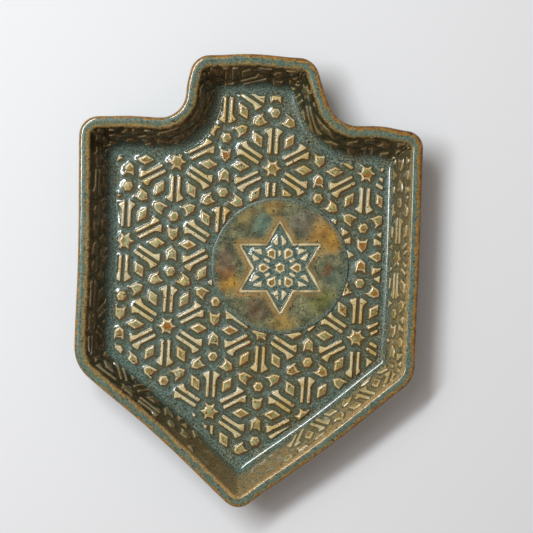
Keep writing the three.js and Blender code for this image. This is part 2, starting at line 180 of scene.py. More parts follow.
# The dish is cut from one rolled stoneware slab about a quarter inch thick, with walls that lean out
# 24 degrees. Its outline runs clockwise: x and y are where two runs would meet, radius rounds that
# corner, and bow is how far the run that follows swells outwards.
CORNERS = {
    "head_left": {"x": -32.0, "y": 96.9, "radius": 10.5, "bow": 1.1},
    "head_right": {"x": 29.4, "y": 97.9, "radius": 11, "bow": -0.3},
    "neck_right": {"x": 42.0, "y": 65.1, "radius": 15, "bow": 1},
    "shoulder_right": {"x": 86.9, "y": 62.9, "radius": 9, "bow": 0.4},
    "hip_right": {"x": 88.0, "y": -63.0, "radius": 15, "bow": 1.2},
    "tip": {"x": 1.3, "y": -134.3, "radius": 9, "bow": -1.5},
    "hip_left": {"x": -85.0, "y": -63.1, "radius": 20, "bow": -0.8},
    "shoulder_left": {"x": -88.2, "y": 63.3, "radius": 10, "bow": 0.4},
    "neck_left": {"x": -36.2, "y": 64.5, "radius": 13, "bow": 0.4},
}
FLOOR_TOP = 6
INSIDE_RADIUS = 3
LEAN = math.radians(24)
RIM_WIDTH = 6
RIM_ROUND = 2

ROUND_ACROSS = RIM_ROUND * (1 - math.cos(LEAN))
RIM_EDGE = Vector((RIM_WIDTH - ROUND_ACROSS, RIM_TOP - RIM_ROUND * (1 - math.sin(LEAN))))
CREASE = RIM_EDGE.x + (RIM_EDGE.y - FLOOR_TOP) * math.tan(LEAN)
WALL_REACH = (RIM_EDGE.y - FLOOR_TOP) / math.cos(LEAN)
OUTER_EDGE = RIM_TOP - RIM_ROUND * (1 + math.sin(LEAN))
OUTER_FOOT = ROUND_ACROSS + (OUTER_EDGE - FLOOR_TOP) * math.tan(LEAN)

# Each corner also has the directions of its two runs, the mitre between them, and whether it turns
# in, as the necks do.
names = list(CORNERS)
places = [np.array([CORNERS[name]["x"], CORNERS[name]["y"]]) for name in names]
frames = []
for index, name in enumerate(names):
    before = places[index] - places[index - 1]
    after = places[(index + 1) % len(names)] - places[index]
    before, after = before / np.linalg.norm(before), after / np.linalg.norm(after)
    middle = after - before
    frames.append({
        **CORNERS[name],
        "before": before,
        "after": after,
        "mitre": np.array([before[1] + after[1], -before[0] - after[0]]) / (1 + before @ after),
        "half": math.acos(-before @ after) / 2,
        "middle": middle / np.linalg.norm(middle),
        "neck": before[0] * after[1] - before[1] * after[0] > 0,
    })


def outward(direction):
    """The outward normal of a run."""
    return np.array([-direction[1], direction[0]])


def corner_arc(index, inset):
    """Centre and radius of a corner's rounding once all runs have moved inwards by an inset."""
    corner = frames[index]
    if corner["neck"]:
        radius = corner["radius"] + inset
    else:
        radius = np.maximum(corner["radius"] - inset, INSIDE_RADIUS)
    point = places[index] + np.multiply.outer(inset, corner["mitre"])
    return point + np.multiply.outer(radius / math.sin(corner["half"]), corner["middle"]), radius


def run_ends(index, inset):
    """Where a run starts and ends, measured along it from its first corner at the rim."""
    ends = []
    for corner, sign in ((index, 1), ((index + 1) % len(frames), -1)):
        point = places[corner] + np.multiply.outer(inset, frames[corner]["mitre"])
        radius = corner_arc(corner, inset)[1]
        along = (point - places[index]) @ frames[index]["after"]
        ends.append(along + sign * radius / math.tan(frames[corner]["half"]))
    return ends


def swell(part):
    """The share of a run's bow at a part of its length."""
    return (4 * part * (1 - part)) ** 2


def outline_point(station, inset):
    """A point of the outline at an inset, and the outward normal there."""
    kind, index, part = station
    corner = frames[index]
    if kind == "arc":
        centre, radius = corner_arc(index, inset)
        first, last = outward(corner["before"]), outward(corner["after"])
        turn = math.atan2(first[0] * last[1] - first[1] * last[0], first @ last) * part
        normal = np.array([first[0] * math.cos(turn) - first[1] * math.sin(turn),
                           first[0] * math.sin(turn) + first[1] * math.cos(turn)])
        return centre + normal * (-radius if corner["neck"] else radius), normal
    normal = outward(corner["after"])
    start, end = run_ends(index, inset)
    base = places[index] - normal * inset
    along = start + (end - start) * part
    return base + corner["after"] * along + normal * corner["bow"] * swell(part), normal


# Stations along the outline are a step apart at a middling inset, and serve every other inset too.
STATION_STEP = 1.5
ARC_INSET, RUN_INSET = 4.0, 8.0
LEAST_HALF_STEPS = 3
stations = []
mitre_stations = {}
for index, name in enumerate(names):
    bend = math.pi - 2 * frames[index]["half"]
    steps = 2 * max(LEAST_HALF_STEPS, round(corner_arc(index, ARC_INSET)[1] * bend / STATION_STEP / 2))
    mitre_stations[name] = len(stations) + steps // 2
    stations += [("arc", index, step / steps) for step in range(steps)]
    start, end = run_ends(index, RUN_INSET)
    steps = round((end - start) / STATION_STEP)
    stations += [("run", index, step / steps) for step in range(steps)]

# The outline's middle lies over the origin, as it does in the frame.
rim_points = np.array([outline_point(station, 0.0)[0] for station in stations])
rim_middle = (rim_points.min(0) + rim_points.max(0)) / 2
places = [place - rim_middle for place in places]

# The pattern was pressed into the flat slab before the walls were turned up, so it is laid out on
# an unfolded sheet: the floor as it lies, and the walls laid flat around it.
SEAM_LEG = 3.5
WALL_ANGLE = math.pi / 2 - LEAN
UNFOLDING = 1 - math.sin(LEAN)
SEARCH_LOW, SEARCH_HIGH = -2 * SEAM_LEG, WALL_REACH + 2
BOW_ROUNDS, HALVINGS = 5, 32
JOINT_SLACK = 1e-4
FAR = 999.0


def inset_at(slant):
    """Inset of the line at a distance beyond the crease, up the wall or back over the floor."""
    return CREASE - np.where(slant > 0, slant * math.sin(LEAN), slant)


CREASE_RING = [tuple(outline_point(station, CREASE)[0]) for station in stations]


def following(loop):
    """Each item of a closed loop with the one after it."""
    return zip(loop, loop[1:] + loop[:1])


def within(points, ring):
    """Which points lie inside a closed ring."""
    inside = np.zeros(len(points), bool)
    for (x1, y1), (x2, y2) in following(ring):
        if y1 != y2:
            crossing = x1 + (points[:, 1] - y1) * (x2 - x1) / (y2 - y1)
            inside ^= ((y1 > points[:, 1]) != (y2 > points[:, 1])) & (points[:, 0] < crossing)
    return inside


def locate(points):
    """For points of the unfolded sheet: distance beyond the crease and outward normal."""
    count = len(points)
    found_slant = np.where(within(points, CREASE_RING), -FAR, FAR)
    found_normal = np.zeros((count, 2))
    nearest = np.full(count, SEARCH_HIGH)

    def keep(inside, slant, normal):
        better = inside & (np.abs(slant) < nearest) & (slant > SEARCH_LOW)
        nearest[better] = np.abs(slant[better])
        found_slant[better] = slant[better]
        found_normal[better] = np.broadcast_to(normal, (count, 2))[better]

    for index, corner in enumerate(frames):
        normal = outward(corner["after"])
        off = (points - places[index]) @ normal + CREASE
        along = (points - places[index]) @ corner["after"]
        slant = off.copy()
        for _ in range(BOW_ROUNDS):
            start, end = run_ends(index, inset_at(slant))
            part = (along - start) / (end - start)
            slant = off - corner["bow"] * swell(np.clip(part, 0, 1))
        keep((part > -JOINT_SLACK) & (part < 1 + JOINT_SLACK), slant, normal)
        if corner["neck"]:
            centre, radius = corner_arc(index, CREASE)
            away = points - centre
            distance = np.linalg.norm(away, axis=1)
            slant, facing = radius - distance, -away / distance[:, None]
        else:
            low, high = np.full(count, SEARCH_LOW), np.full(count, SEARCH_HIGH)
            for _ in range(HALVINGS):
                slant = (low + high) / 2
                centre, radius = corner_arc(index, inset_at(slant))
                reach = radius + np.maximum(slant, 0) * UNFOLDING
                beyond = np.linalg.norm(points - centre, axis=1) > reach
                low, high = np.where(beyond, slant, low), np.where(beyond, high, slant)
            away = points - centre
            facing = away / np.maximum(np.linalg.norm(away, axis=1), 1e-9)[:, None]
        side = -1 if corner["neck"] else 1
        first, last = outward(corner["before"]), outward(corner["after"])
        after_first = (facing[:, 0] * first[1] - facing[:, 1] * first[0]) * side
        before_last = (last[0] * facing[:, 1] - last[1] * facing[:, 0]) * side
        between = (after_first > -JOINT_SLACK) & (before_last > -JOINT_SLACK)
        keep(between & (facing @ (first + last) > 0), slant, facing)
    return found_slant, found_normal


def fold(points, slant, normal, height):
    """Points of the unfolded sheet in their real place, raised by a height square to the surface."""
    angle = np.clip((slant + SEAM_LEG) / (2 * SEAM_LEG), 0, 1) * WALL_ANGLE
    hollow = SEAM_LEG / math.tan(WALL_ANGLE / 2)
    line = np.where(slant > 0, slant * math.sin(LEAN), slant)
    in_seam = np.abs(slant) < SEAM_LEG
    offset = np.where(in_seam, -SEAM_LEG + hollow * np.sin(angle), line)
    rise = np.where(in_seam, hollow * (1 - np.cos(angle)), np.maximum(slant, 0) * math.cos(LEAN))
    shift = offset - line - np.maximum(slant, 0) * UNFOLDING - height * np.sin(angle)
    return np.column_stack([points + normal * shift[:, None], FLOOR_TOP + rise + height * np.cos(angle)])


def sheet_ring(slant):
    """The unfolded sheet's points at one distance beyond the crease, one for each station."""
    inset = float(inset_at(slant))
    ring = [outline_point(station, inset) for station in stations]
    return [point + normal * max(slant, 0) * UNFOLDING for point, normal in ring]


# The relief is a traditional lattice: a small star at each point of a triangular net, pairs of bars
# with turned-out feet between stars and hexagons, rhombi along the net, and shields round each hexagon.
LATTICE_SIDE = 49.1
LATTICE_TURN = -0.9
LATTICE_STAR = Vector((9.5, -26.3))
STAR_TIP, STAR_VALLEY = 4.9, 2.7
STAR_CURVE, STAR_CURVE_TURN = 0.17, 15
HEXAGON_RADIUS = 2.65
BAR_FROM_STAR, BAR_FROM_HEXAGON = 7.5, 7.5
BAR_SPACING, BAR_WIDTH = 2.15, 1.3
BAR_FOOT_REACH, BAR_FOOT_LENGTH = 2.1, 4.9
BAR_FOOT_HOLLOW = (0.7, 0.33)
BAR_END_SLANT = math.tan(math.radians(30))
RHOMBUS_LENGTH, RHOMBUS_WIDTH = 9.2, 5.1
SHIELD_FROM_HEXAGON, SHIELD_LENGTH, SHIELD_WIDTH = 5.3, 7.1, 5.4
SHIELD_POINT, SHIELD_NOTCH, SHIELD_TAPER = 2.2, 1.3, 0.85
HEXAGON_DISTANCE = LATTICE_SIDE / math.sqrt(3)
NET_STEPS = range(-7, 8)
NET_REACH = 200


def polar(radius, degrees):
    """A point at a distance and direction from the origin."""
    return Vector((radius * math.cos(math.radians(degrees)), radius * math.sin(math.radians(degrees))))


def star_outline(tip, valley):
    """Six tips, the first along x, with sides that curve in to the valleys."""
    curve = valley + (tip - valley) * STAR_CURVE
    outline = []
    for turn in range(0, 360, 60):
        outline += [polar(tip, turn), polar(curve, turn + STAR_CURVE_TURN),
                    polar(curve, turn + 60 - STAR_CURVE_TURN)]
    return outline


def bar_outline(side):
    """One bar of a pair along x, with a flared foot at its far end. Side is 1 or -1."""
    near, far = BAR_SPACING / 2, BAR_SPACING / 2 + BAR_WIDTH
    end = HEXAGON_DISTANCE - BAR_FROM_HEXAGON
    outline = [
        (BAR_FROM_STAR, near),
        (end, near),
        (end - (BAR_WIDTH + BAR_FOOT_REACH) * BAR_END_SLANT, far + BAR_FOOT_REACH),
        (end - BAR_FOOT_LENGTH * BAR_FOOT_HOLLOW[0], far + BAR_FOOT_REACH * BAR_FOOT_HOLLOW[1]),
        (end - BAR_FOOT_LENGTH, far),
        (BAR_FROM_STAR, far),
    ]
    return [Vector((x, y * side)) for x, y in outline][::side]


def shield_outline():
    """Two ears with a hollow between them, and a blunt point away from the hexagon."""
    start, end = SHIELD_FROM_HEXAGON, SHIELD_FROM_HEXAGON + SHIELD_LENGTH
    wide = SHIELD_WIDTH / 2
    outline = [
        (start, -wide),
        (end - SHIELD_POINT, -wide * SHIELD_TAPER),
        (end, 0),
        (end - SHIELD_POINT, wide * SHIELD_TAPER),
        (start, wide),
        (start + SHIELD_NOTCH, wide / 2),
        (start + SHIELD_NOTCH, -wide / 2),
    ]
    return [Vector(point) for point in outline]


STAR = star_outline(STAR_TIP, STAR_VALLEY)
HEXAGON = [polar(HEXAGON_RADIUS, turn) for turn in range(0, 360, 60)]
RHOMBUS = [Vector((-RHOMBUS_LENGTH / 2, 0)), Vector((0, -RHOMBUS_WIDTH / 2)),
           Vector((RHOMBUS_LENGTH / 2, 0)), Vector((0, RHOMBUS_WIDTH / 2))]
SHIELD = shield_outline()

# The slab was patted and stretched by hand, so the net wanders by a few tenths of a millimetre.
WANDER = 0.35
WANDER_LENGTH = 38


def wander(point):
    """A point of the net after the slab was handled."""
    place = Vector((point.x, point.y, 0)) / WANDER_LENGTH
    return point + WANDER * Vector((noise.noise(place), noise.noise(place + Vector((0, 0, 7.3)))))


def lattice_motifs():
    """Every motif that could lie on the sheet, as an outline in its place."""
    motifs = []
    for column in NET_STEPS:
        for row in NET_STEPS:
            star = LATTICE_STAR + polar(LATTICE_SIDE * column, LATTICE_TURN)
            star += polar(LATTICE_SIDE * row, LATTICE_TURN + 60)
            if star.length > NET_REACH:
                continue
            parts = [(STAR, 0, 0, 0)]
            for turn in range(30, 390, 60):
                parts += [(bar_outline(1), 0, 0, turn), (bar_outline(-1), 0, 0, turn)]
            for turn in (0, 60, 120):
                parts += [(RHOMBUS, LATTICE_SIDE * third / 3, turn, turn) for third in (1, 2)]
            for direction in (30, 90):
                parts.append((HEXAGON, HEXAGON_DISTANCE, direction, 0))
                parts += [(SHIELD, HEXAGON_DISTANCE, direction, direction + turn) for turn in (0, 120, 240)]
            for outline, distance, direction, turn in parts:
                place = star + polar(distance, LATTICE_TURN + direction)
                turned = Matrix.Rotation(math.radians(LATTICE_TURN + turn), 2)
                motifs.append([wander(turned @ point + place) for point in outline])
    return motifs


def divided(outline, step):
    """The outline with points no further apart than a step."""
    points = []
    for here, after in following(outline):
        parts = max(1, math.ceil((after - here).length / step))
        points += [here.lerp(after, part / parts) for part in range(parts)]
    return points


def clip(outline, values):
    """The parts of an outline whose values are below zero, each closed along its cut."""
    loop, leaving, crossings = [], set(), []
    for (here, after), (value, next_value) in zip(following(outline), following(list(values))):
        if value < 0:
            loop.append(here)
        if (value < 0) != (next_value < 0):
            crossings.append(len(loop))
            if value < 0:
                leaving.add(len(loop))
            loop.append(here.lerp(after, float(value / (value - next_value))))
    if not crossings:
        return [outline] if values[0] < 0 else []
    far = max(crossings, key=lambda k: (loop[k] - loop[crossings[0]]).length)
    axis = loop[far] - loop[crossings[0]]
    order = sorted(crossings, key=lambda k: loop[k].dot(axis))
    mate = {}
    for one, other in zip(order[::2], order[1::2]):
        mate[one], mate[other] = other, one
    parts, unused = [], set(range(len(loop)))
    while unused:
        first = here = min(unused)
        part = []
        while here in unused:
            unused.remove(here)
            part.append(loop[here])
            here = mate[here] if here in leaving else (here + 1) % len(loop)
        if here == first and len(part) > 2:
            parts.append(part)
    return parts


def area(outline):
    """Area inside an outline that runs counter-clockwise."""
    return sum(a.cross(b) for a, b in following(outline)) / 2


# Outlines lose their straight points and very short sides, and are rounded like soft clay.
LEAST_TURN = 0.05
LEAST_MITRE = 0.35
LEAST_RADIUS, HOLLOW_RADIUS = 0.12, 0.45
SHARPEST_TURN = 2.6
ROUNDED_SHARE = 0.42
LONGEST_SIDE = 2.4


def corners_of(outline):
    """Each point of an outline with the unit directions that lead to it and away from it."""
    for before, here, after in zip(outline[-1:] + outline[:-1], outline, outline[1:] + outline[:1]):
        yield here, (here - before).normalized(), (after - here).normalized()


def simplified(outline, least_side=0.25):
    """The outline without its straight points and very short sides."""
    kept = []
    for point in outline:
        if not kept or (point - kept[-1]).length > least_side:
            kept.append(point)
    if (kept[0] - kept[-1]).length < least_side:
        kept.pop()
    return [here for here, one, two in corners_of(kept)
            if abs(one.cross(two)) > LEAST_TURN or one.dot(two) < 0]


def grown(outline, distance):
    """The outline with every side moved outwards, or inwards where the distance is negative."""
    moved = []
    for here, one, two in corners_of(outline):
        side = Vector((one.y + two.y, -one.x - two.x))
        moved.append(here + side * (distance / max(1 + one.dot(two), LEAST_MITRE)))
    return moved


def rounded(outline, radius, side_counts=None):
    """The outline with rounded corners of three points each, and its sides divided."""
    ends = []
    for before, here, after in zip(outline[-1:] + outline[:-1], outline, outline[1:] + outline[:1]):
        one, two = here - before, after - here
        bend = one.normalized().cross(two.normalized())
        corner_radius = max(radius, LEAST_RADIUS) if bend > 0 else HOLLOW_RADIUS
        reach = corner_radius * math.tan(min(one.angle(two), SHARPEST_TURN) / 2)
        reach = min(reach, ROUNDED_SHARE * one.length, ROUNDED_SHARE * two.length)
        start, stop = here - one.normalized() * reach, here + two.normalized() * reach
        ends.append((start, start.lerp(stop, 0.5).lerp(here, 0.5), stop))
    if side_counts is None:
        side_counts = [max(1, round((after[0] - here[2]).length / LONGEST_SIDE))
                       for here, after in following(ends)]
    points = []
    for (here, after), count in zip(following(ends), side_counts):
        points += list(here)
        points += [here[2].lerp(after[0], part / count) for part in range(1, count)]
    return points, side_counts


# Each motif rises from a soft foot over a steep side to a cushion top: RELIEF lists inset, height and
# relief level. Glaze creeps up the foot, and rings of ground points carry that curve: COLLARS lists
# their distance and spacing.
FOOT = 0.35
FOOT_RADIUS = 0.75
RELIEF = [(0.0, 0.0, 0.2), (0.18, 0.64, 0.5), (0.34, 0.9, 0.78), (0.6, 1.08, 1.0), (0.95, 1.2, 1.15),
          (1.25, 1.27, 1.5)]
ROOM_STEP, ROOM_SHARE = 0.3, 0.85
POOL_SHARE, POOL_HEIGHT, POOL_LEVEL = 0.45, 1.33, 2.0
POOL_ROOM = 1.7
NARROW_LEVEL = 1.2
MENISCUS_HEIGHT, MENISCUS_REACH = 0.55, 0.75
MENISCUS_END = 4 * MENISCUS_REACH
COLLARS = [(0.4, 0.45), (0.9, 0.6)]
COLLAR_ROOM, COLLAR_CLEARANCE = 0.25, 0.9
COLLAR_END = COLLARS[-1][0] + COLLARS[-1][1] * 0.6
GROUND_STEP, ROW_SHARE, SHAKE = 0.85, 0.866, 0.18
SAMPLE_STEP = 0.35
SNAP = 1e-5
LEAST_SHARE = 0.35


def middle_of(outline):
    """The middle of the area inside an outline."""
    moment = sum(((a + b) * a.cross(b) for a, b in following(outline)), Vector((0, 0)))
    return moment / (6 * area(outline))


def build_rings(outline):
    """The rings of a motif from its foot to its middle, each with points, height and relief level."""
    foot = grown(outline, FOOT)
    centre = middle_of(outline)
    room = FOOT + min((point - centre).length for point in divided(outline, ROOM_STEP))
    share = min(1.0, ROOM_SHARE * room / RELIEF[-1][0])
    pooled = room > POOL_ROOM
    rings, counts = [], None
    for inset, height, level in RELIEF:
        points, counts = rounded(grown(foot, -inset * share), FOOT_RADIUS - inset * share, counts)
        rings.append((points, height, level if pooled else min(level, NARROW_LEVEL)))
    if pooled:
        rings.append(([centre + (point - centre) * POOL_SHARE for point in points], POOL_HEIGHT, POOL_LEVEL))
    return rings


def point_tree(points):
    """A search tree of flat points."""
    tree = kdtree.KDTree(len(points))
    for index, point in enumerate(points):
        tree.insert((point[0], point[1], 0), index)
    tree.balance()
    return tree


def collar_points(all_rings, foot_tree, border_tree):
    """Ground points in rings round every motif, clear of other motifs and of the borders."""
    kept, taken = [], set()
    for distance, spacing in COLLARS:
        for rings in all_rings:
            for point in divided(grown(rings[0][0], distance), spacing):
                cell = (round(point.x / COLLAR_ROOM), round(point.y / COLLAR_ROOM))
                spot = (point.x, point.y, 0)
                off_feet = foot_tree.find(spot)[2] > COLLAR_CLEARANCE * distance
                if off_feet and border_tree.find(spot)[2] > COLLAR_ROOM and cell not in taken:
                    taken.add(cell)
                    kept.append(point)
    return kept


def scatter(low, high, step, seed):
    """A net of points that are a step apart, each a little off its place."""
    chance = random.Random(seed)
    points = []
    for row in range(int((high.y - low.y) / (step * ROW_SHARE)) + 1):
        for column in range(int((high.x - low.x) / step) + 1):
            x = low.x + (column + 0.5 * (row % 2) + chance.uniform(-SHAKE, SHAKE)) * step
            y = low.y + (row * ROW_SHARE + chance.uniform(-SHAKE, SHAKE)) * step
            points.append((x, y))
    return np.array(points)


def creep_up(bm, foot_tree, relief_of):
    """Raises the ground towards the motifs' feet, as far as the glaze creeps up them."""
    height_layer, relief_layer = (bm.verts.layers.float[name] for name in ("height", "relief"))
    scale = 2 * MENISCUS_REACH / SAMPLE_STEP
    shares = relief_of(np.array([(vert.co.x, vert.co.y) for vert in bm.verts]))
    for vert, share in zip(bm.verts, shares):
        near = foot_tree.find_range(vert.co, MENISCUS_END)
        pull = min(1.0, sum(math.exp(-distance / MENISCUS_REACH) for _, _, distance in near) / scale)
        vert[height_layer] = MENISCUS_HEIGHT * pull * share
        vert[relief_layer] = RELIEF[0][2] * pull * share


def raise_motifs(bm, faces, all_rings, motif_shares):
    """Raises the motifs' faces from ring to ring. The layer motif holds a face's place in the lists."""
    height_layer, relief_layer = (bm.verts.layers.float[name] for name in ("height", "relief"))
    number_layer = bm.faces.layers.int["motif"]
    for level in range(1, len(RELIEF) + 1):
        chosen = [face for face in faces if len(all_rings[face[number_layer]]) > level]
        faces = bmesh.ops.extrude_discrete_faces(bm, faces=chosen)["faces"]
        for face in faces:
            targets, height, tone = all_rings[face[number_layer]][level]
            share = motif_shares[face[number_layer]]
            for vert, target in zip(face.verts, targets):
                vert.co = (target.x, target.y, 0)
                vert[height_layer] = height * share
                vert[relief_layer] = tone


def pattern_sheet(motifs, borders, ground, in_sheet, relief_of):
    """A bmesh in the flat: ground triangles between the borders, and every motif raised on it.

    Borders are closed lines of points and ground is a list of free points. in_sheet says which
    points belong to the sheet, and relief_of gives each point a share of the relief's full height."""
    shares = relief_of(np.array([tuple(middle_of(motif)) for motif in motifs]))
    motifs = [motif for motif, share in zip(motifs, shares) if share > LEAST_SHARE]
    motif_shares = [share for share in shares if share > LEAST_SHARE]
    all_rings = [build_rings(motif) for motif in motifs]
    foot_tree = point_tree([point for rings in all_rings for point in divided(rings[0][0], SAMPLE_STEP)])
    edge_points = [Vector(point) for border in borders for point in border]
    border_tree = point_tree([point for border in borders
                              for point in divided([Vector(spot) for spot in border], SAMPLE_STEP)])
    free = [Vector(point) for point in ground if foot_tree.find((*point, 0))[2] > COLLAR_END]
    collars = collar_points(all_rings, foot_tree, border_tree)
    inside = in_sheet(np.array([tuple(point) for point in collars]))
    free += [point for point, kept in zip(collars, inside) if kept]
    points = free + edge_points + [point for rings in all_rings for point in rings[0][0]]
    edges, start = [], len(free)
    for border in borders:
        edges += [(start + k, start + (k + 1) % len(border)) for k in range(len(border))]
        start += len(border)
    loops = []
    for rings in all_rings:
        loops.append(list(range(start, start + len(rings[0][0]))))
        start += len(rings[0][0])
    spots, _, triangles, origins, _, face_origins = delaunay_2d_cdt(points, edges, loops, 0, SNAP, True)
    new_index = {source: index for index, sources in enumerate(origins) for source in sources}
    bm = bmesh.new()
    for name in ("height", "relief"):
        bm.verts.layers.float.new(name)
    verts = [bm.verts.new((spot.x, spot.y, 0)) for spot in spots]
    ground_triangles = [triangle for triangle, inside in zip(triangles, face_origins) if not inside]
    centres = np.array([[sum(spots[k].x for k in triangle) / 3, sum(spots[k].y for k in triangle) / 3]
                        for triangle in ground_triangles])
    for triangle, kept in zip(ground_triangles, in_sheet(centres)):
        if kept:
            bm.faces.new([verts[k] for k in triangle])
    number_layer = bm.faces.layers.int.new("motif")
    raised = []
    for number, loop in enumerate(loops):
        face = bm.faces.new([verts[new_index[k]] for k in loop])
        face[number_layer] = number
        raised.append(face)
    creep_up(bm, foot_tree, relief_of)
    raise_motifs(bm, raised, all_rings, motif_shares)
    bmesh.ops.delete(bm, geom=[vert for vert in bm.verts if not vert.link_faces], context="VERTS")
    return bm


DISC_CENTRE = Vector((17.0, 8.5))
DISC_RADIUS = 35.5
PATTERN_GAP, RIM_GAP = 0.45, 1.2
SMALLEST_FRAGMENT = 1.3
CLIP_STEP = 1.5

# A motif is cut a little short of the seam, the medallion and the rim. Tiny fragments are left out.
floor_motifs, wall_motifs = [], []
candidates = [divided(motif, CLIP_STEP) for motif in lattice_motifs()]
slants = locate(np.array([point for motif in candidates for point in motif]))[0]
start = 0
for motif in candidates:
    slant = slants[start:start + len(motif)]
    start += len(motif)
    to_disc = np.array([DISC_RADIUS + PATTERN_GAP - (point - DISC_CENTRE).length for point in motif])
    on_floor = np.maximum(slant + SEAM_LEG + PATTERN_GAP, to_disc)
    on_wall = np.maximum(SEAM_LEG + PATTERN_GAP - slant, slant - WALL_REACH + RIM_GAP)
    for values, kept in ((on_floor, floor_motifs), (on_wall, wall_motifs)):
        for part in clip(motif, values):
            part = simplified(part)
            if len(part) > 2 and area(part) > SMALLEST_FRAGMENT:
                kept.append(part)


def circle(centre, radius, steps):
    """Points round a centre."""
    return [centre + polar(radius, 360 * step / steps) for step in range(steps)]


FLOOR_SWELL, SWELL_FADE, SWELL_FINENESS = 0.12, 6, 1.2
RIM_WAVER, RIM_DROP, RIM_FADE, DROP_FINENESS = 0.3, 0.2, 12, 1.4
WAVER_LENGTH = 24


def handled(place, normal, height, slant):
    """A point after the potter's hands: the floor swells a little, and the rim wavers in and down."""
    spot = Vector((place[0], place[1], 0)) / WAVER_LENGTH
    share = min(max((height - FLOOR_TOP - SEAM_LEG) / RIM_FADE, 0), 1)
    inwards = share * RIM_WAVER * (0.5 + 0.5 * noise.noise(spot))
    down = share * RIM_DROP * (0.5 + 0.5 * noise.noise(spot * DROP_FINENESS + Vector((5, 3, 1))))
    up = FLOOR_SWELL * noise.noise(spot * SWELL_FINENESS + Vector((0, 9, 4)))
    up *= min(max(-slant - SEAM_LEG, 0) / SWELL_FADE, 1)
    return (place[0] - normal[0] * inwards, place[1] - normal[1] * inwards, height - down + up)


def place_sheet(bm):
    """Folds a flat patterned sheet into its real place."""
    height_layer = bm.verts.layers.float["height"]
    rise_layer = bm.verts.layers.float.new("rise")
    flat = np.array([(vert.co.x, vert.co.y) for vert in bm.verts])
    height = np.array([vert[height_layer] for vert in bm.verts])
    slant, normal = locate(flat)
    for vert, place, facing, reach in zip(bm.verts, fold(flat, slant, normal, height), normal, slant):
        vert.co = handled(place[:2], facing, place[2], reach)
        vert[rise_layer] = max(reach, SEARCH_LOW)


def add_to(bm, added, part):
    """Adds one bmesh to another, its faces marked with the number of their part."""
    for face in added.faces:
        face.material_index = part
        face.smooth = True
    shell = bpy.data.meshes.new("shell")
    added.to_mesh(shell)
    bm.from_mesh(shell)
    bpy.data.meshes.remove(shell)
    added.free()


def sweep(section, first, last):
    """Carries a section round the outline from one station to another. The section lists inset,
    height and rise, which is the way along the clay from the crease."""
    bm = bmesh.new()
    rise_layer = bm.verts.layers.float.new("rise")
    bm.verts.layers.float.new("relief")
    bmesh.ops.create_grid(bm, x_segments=len(section) - 1, y_segments=last - first, size=1)
    bm.verts.ensure_lookup_table()
    for row in range(last - first + 1):
        station = stations[(first + row) % len(stations)]
        for column, (inset, height, rise) in enumerate(section):
            point, normal = outline_point(station, inset)
            vert = bm.verts[row * len(section) + column]
            vert.co = handled(point, normal, height, 0)
            vert[rise_layer] = rise
    return bm


def with_rise(profile, start):
    """A profile of inset and height with the way along it from a starting rise."""
    section = [(*profile[0], start)]
    for here, after in zip(profile, profile[1:]):
        section.append((*after, section[-1][2] + math.dist(here, after)))
    return section


# The floor's sheet ends at the seam and has a hole under the medallion. Free points of its ground stay
# clear of both.
FLOOR_EXTENT = (Vector((-95, -130)), Vector((95, 125)))
EDGE_ROOM = 0.4
FLOOR_FADE, RIM_SOFTENING = 0.8, 2
RING_INSET, RING_STEPS, RING_ROOM = 1, 140, 0.4
ground = scatter(*FLOOR_EXTENT, GROUND_STEP, seed=3)
ground_slant = locate(ground)[0]
on_floor = ground_slant < -SEAM_LEG - EDGE_ROOM
off_disc = np.linalg.norm(ground - np.array(DISC_CENTRE), axis=1) > DISC_RADIUS - RING_INSET + RING_ROOM
floor_edge = [tuple(point) for point in sheet_ring(-SEAM_LEG)]
floor_sheet = pattern_sheet(
    floor_motifs,
    [floor_edge, circle(DISC_CENTRE, DISC_RADIUS - RING_INSET, RING_STEPS)],
    ground[on_floor & off_disc],
    lambda points: within(points, floor_edge),
    lambda points: np.clip((-SEAM_LEG - locate(points)[0]) / FLOOR_FADE, 0, 1) ** 0.5,
)
place_sheet(floor_sheet)

# Beside the tip the potter's fingers have smoothed the wall's pattern away.
TIP_PLACE = outline_point(stations[mitre_stations["tip"]], 0.0)[0]
TIP_PLAIN, TIP_FADE = 30, 14
WALL_EXTENT = (Vector((-105, -145)), Vector((105, 135)))


def wall_share(points):
    """The share of the relief's height on the wall."""
    off_rim = np.clip((WALL_REACH - locate(points)[0]) / RIM_SOFTENING, 0, 1)
    from_tip = np.linalg.norm(points - TIP_PLACE, axis=1)
    return off_rim * np.clip((from_tip - TIP_PLAIN) / TIP_FADE, 0, 1)


ground = scatter(*WALL_EXTENT, GROUND_STEP, seed=4)
ground_slant = locate(ground)[0]
wall_foot = [tuple(point) for point in sheet_ring(SEAM_LEG)]
wall_head = [tuple(point) for point in sheet_ring(WALL_REACH)]
wall_sheet = pattern_sheet(
    wall_motifs,
    [wall_foot, wall_head],
    ground[(ground_slant > SEAM_LEG + EDGE_ROOM) & (ground_slant < WALL_REACH - EDGE_ROOM)],
    lambda points: within(points, wall_head) & ~within(points, wall_foot),
    wall_share,
)
place_sheet(wall_sheet)

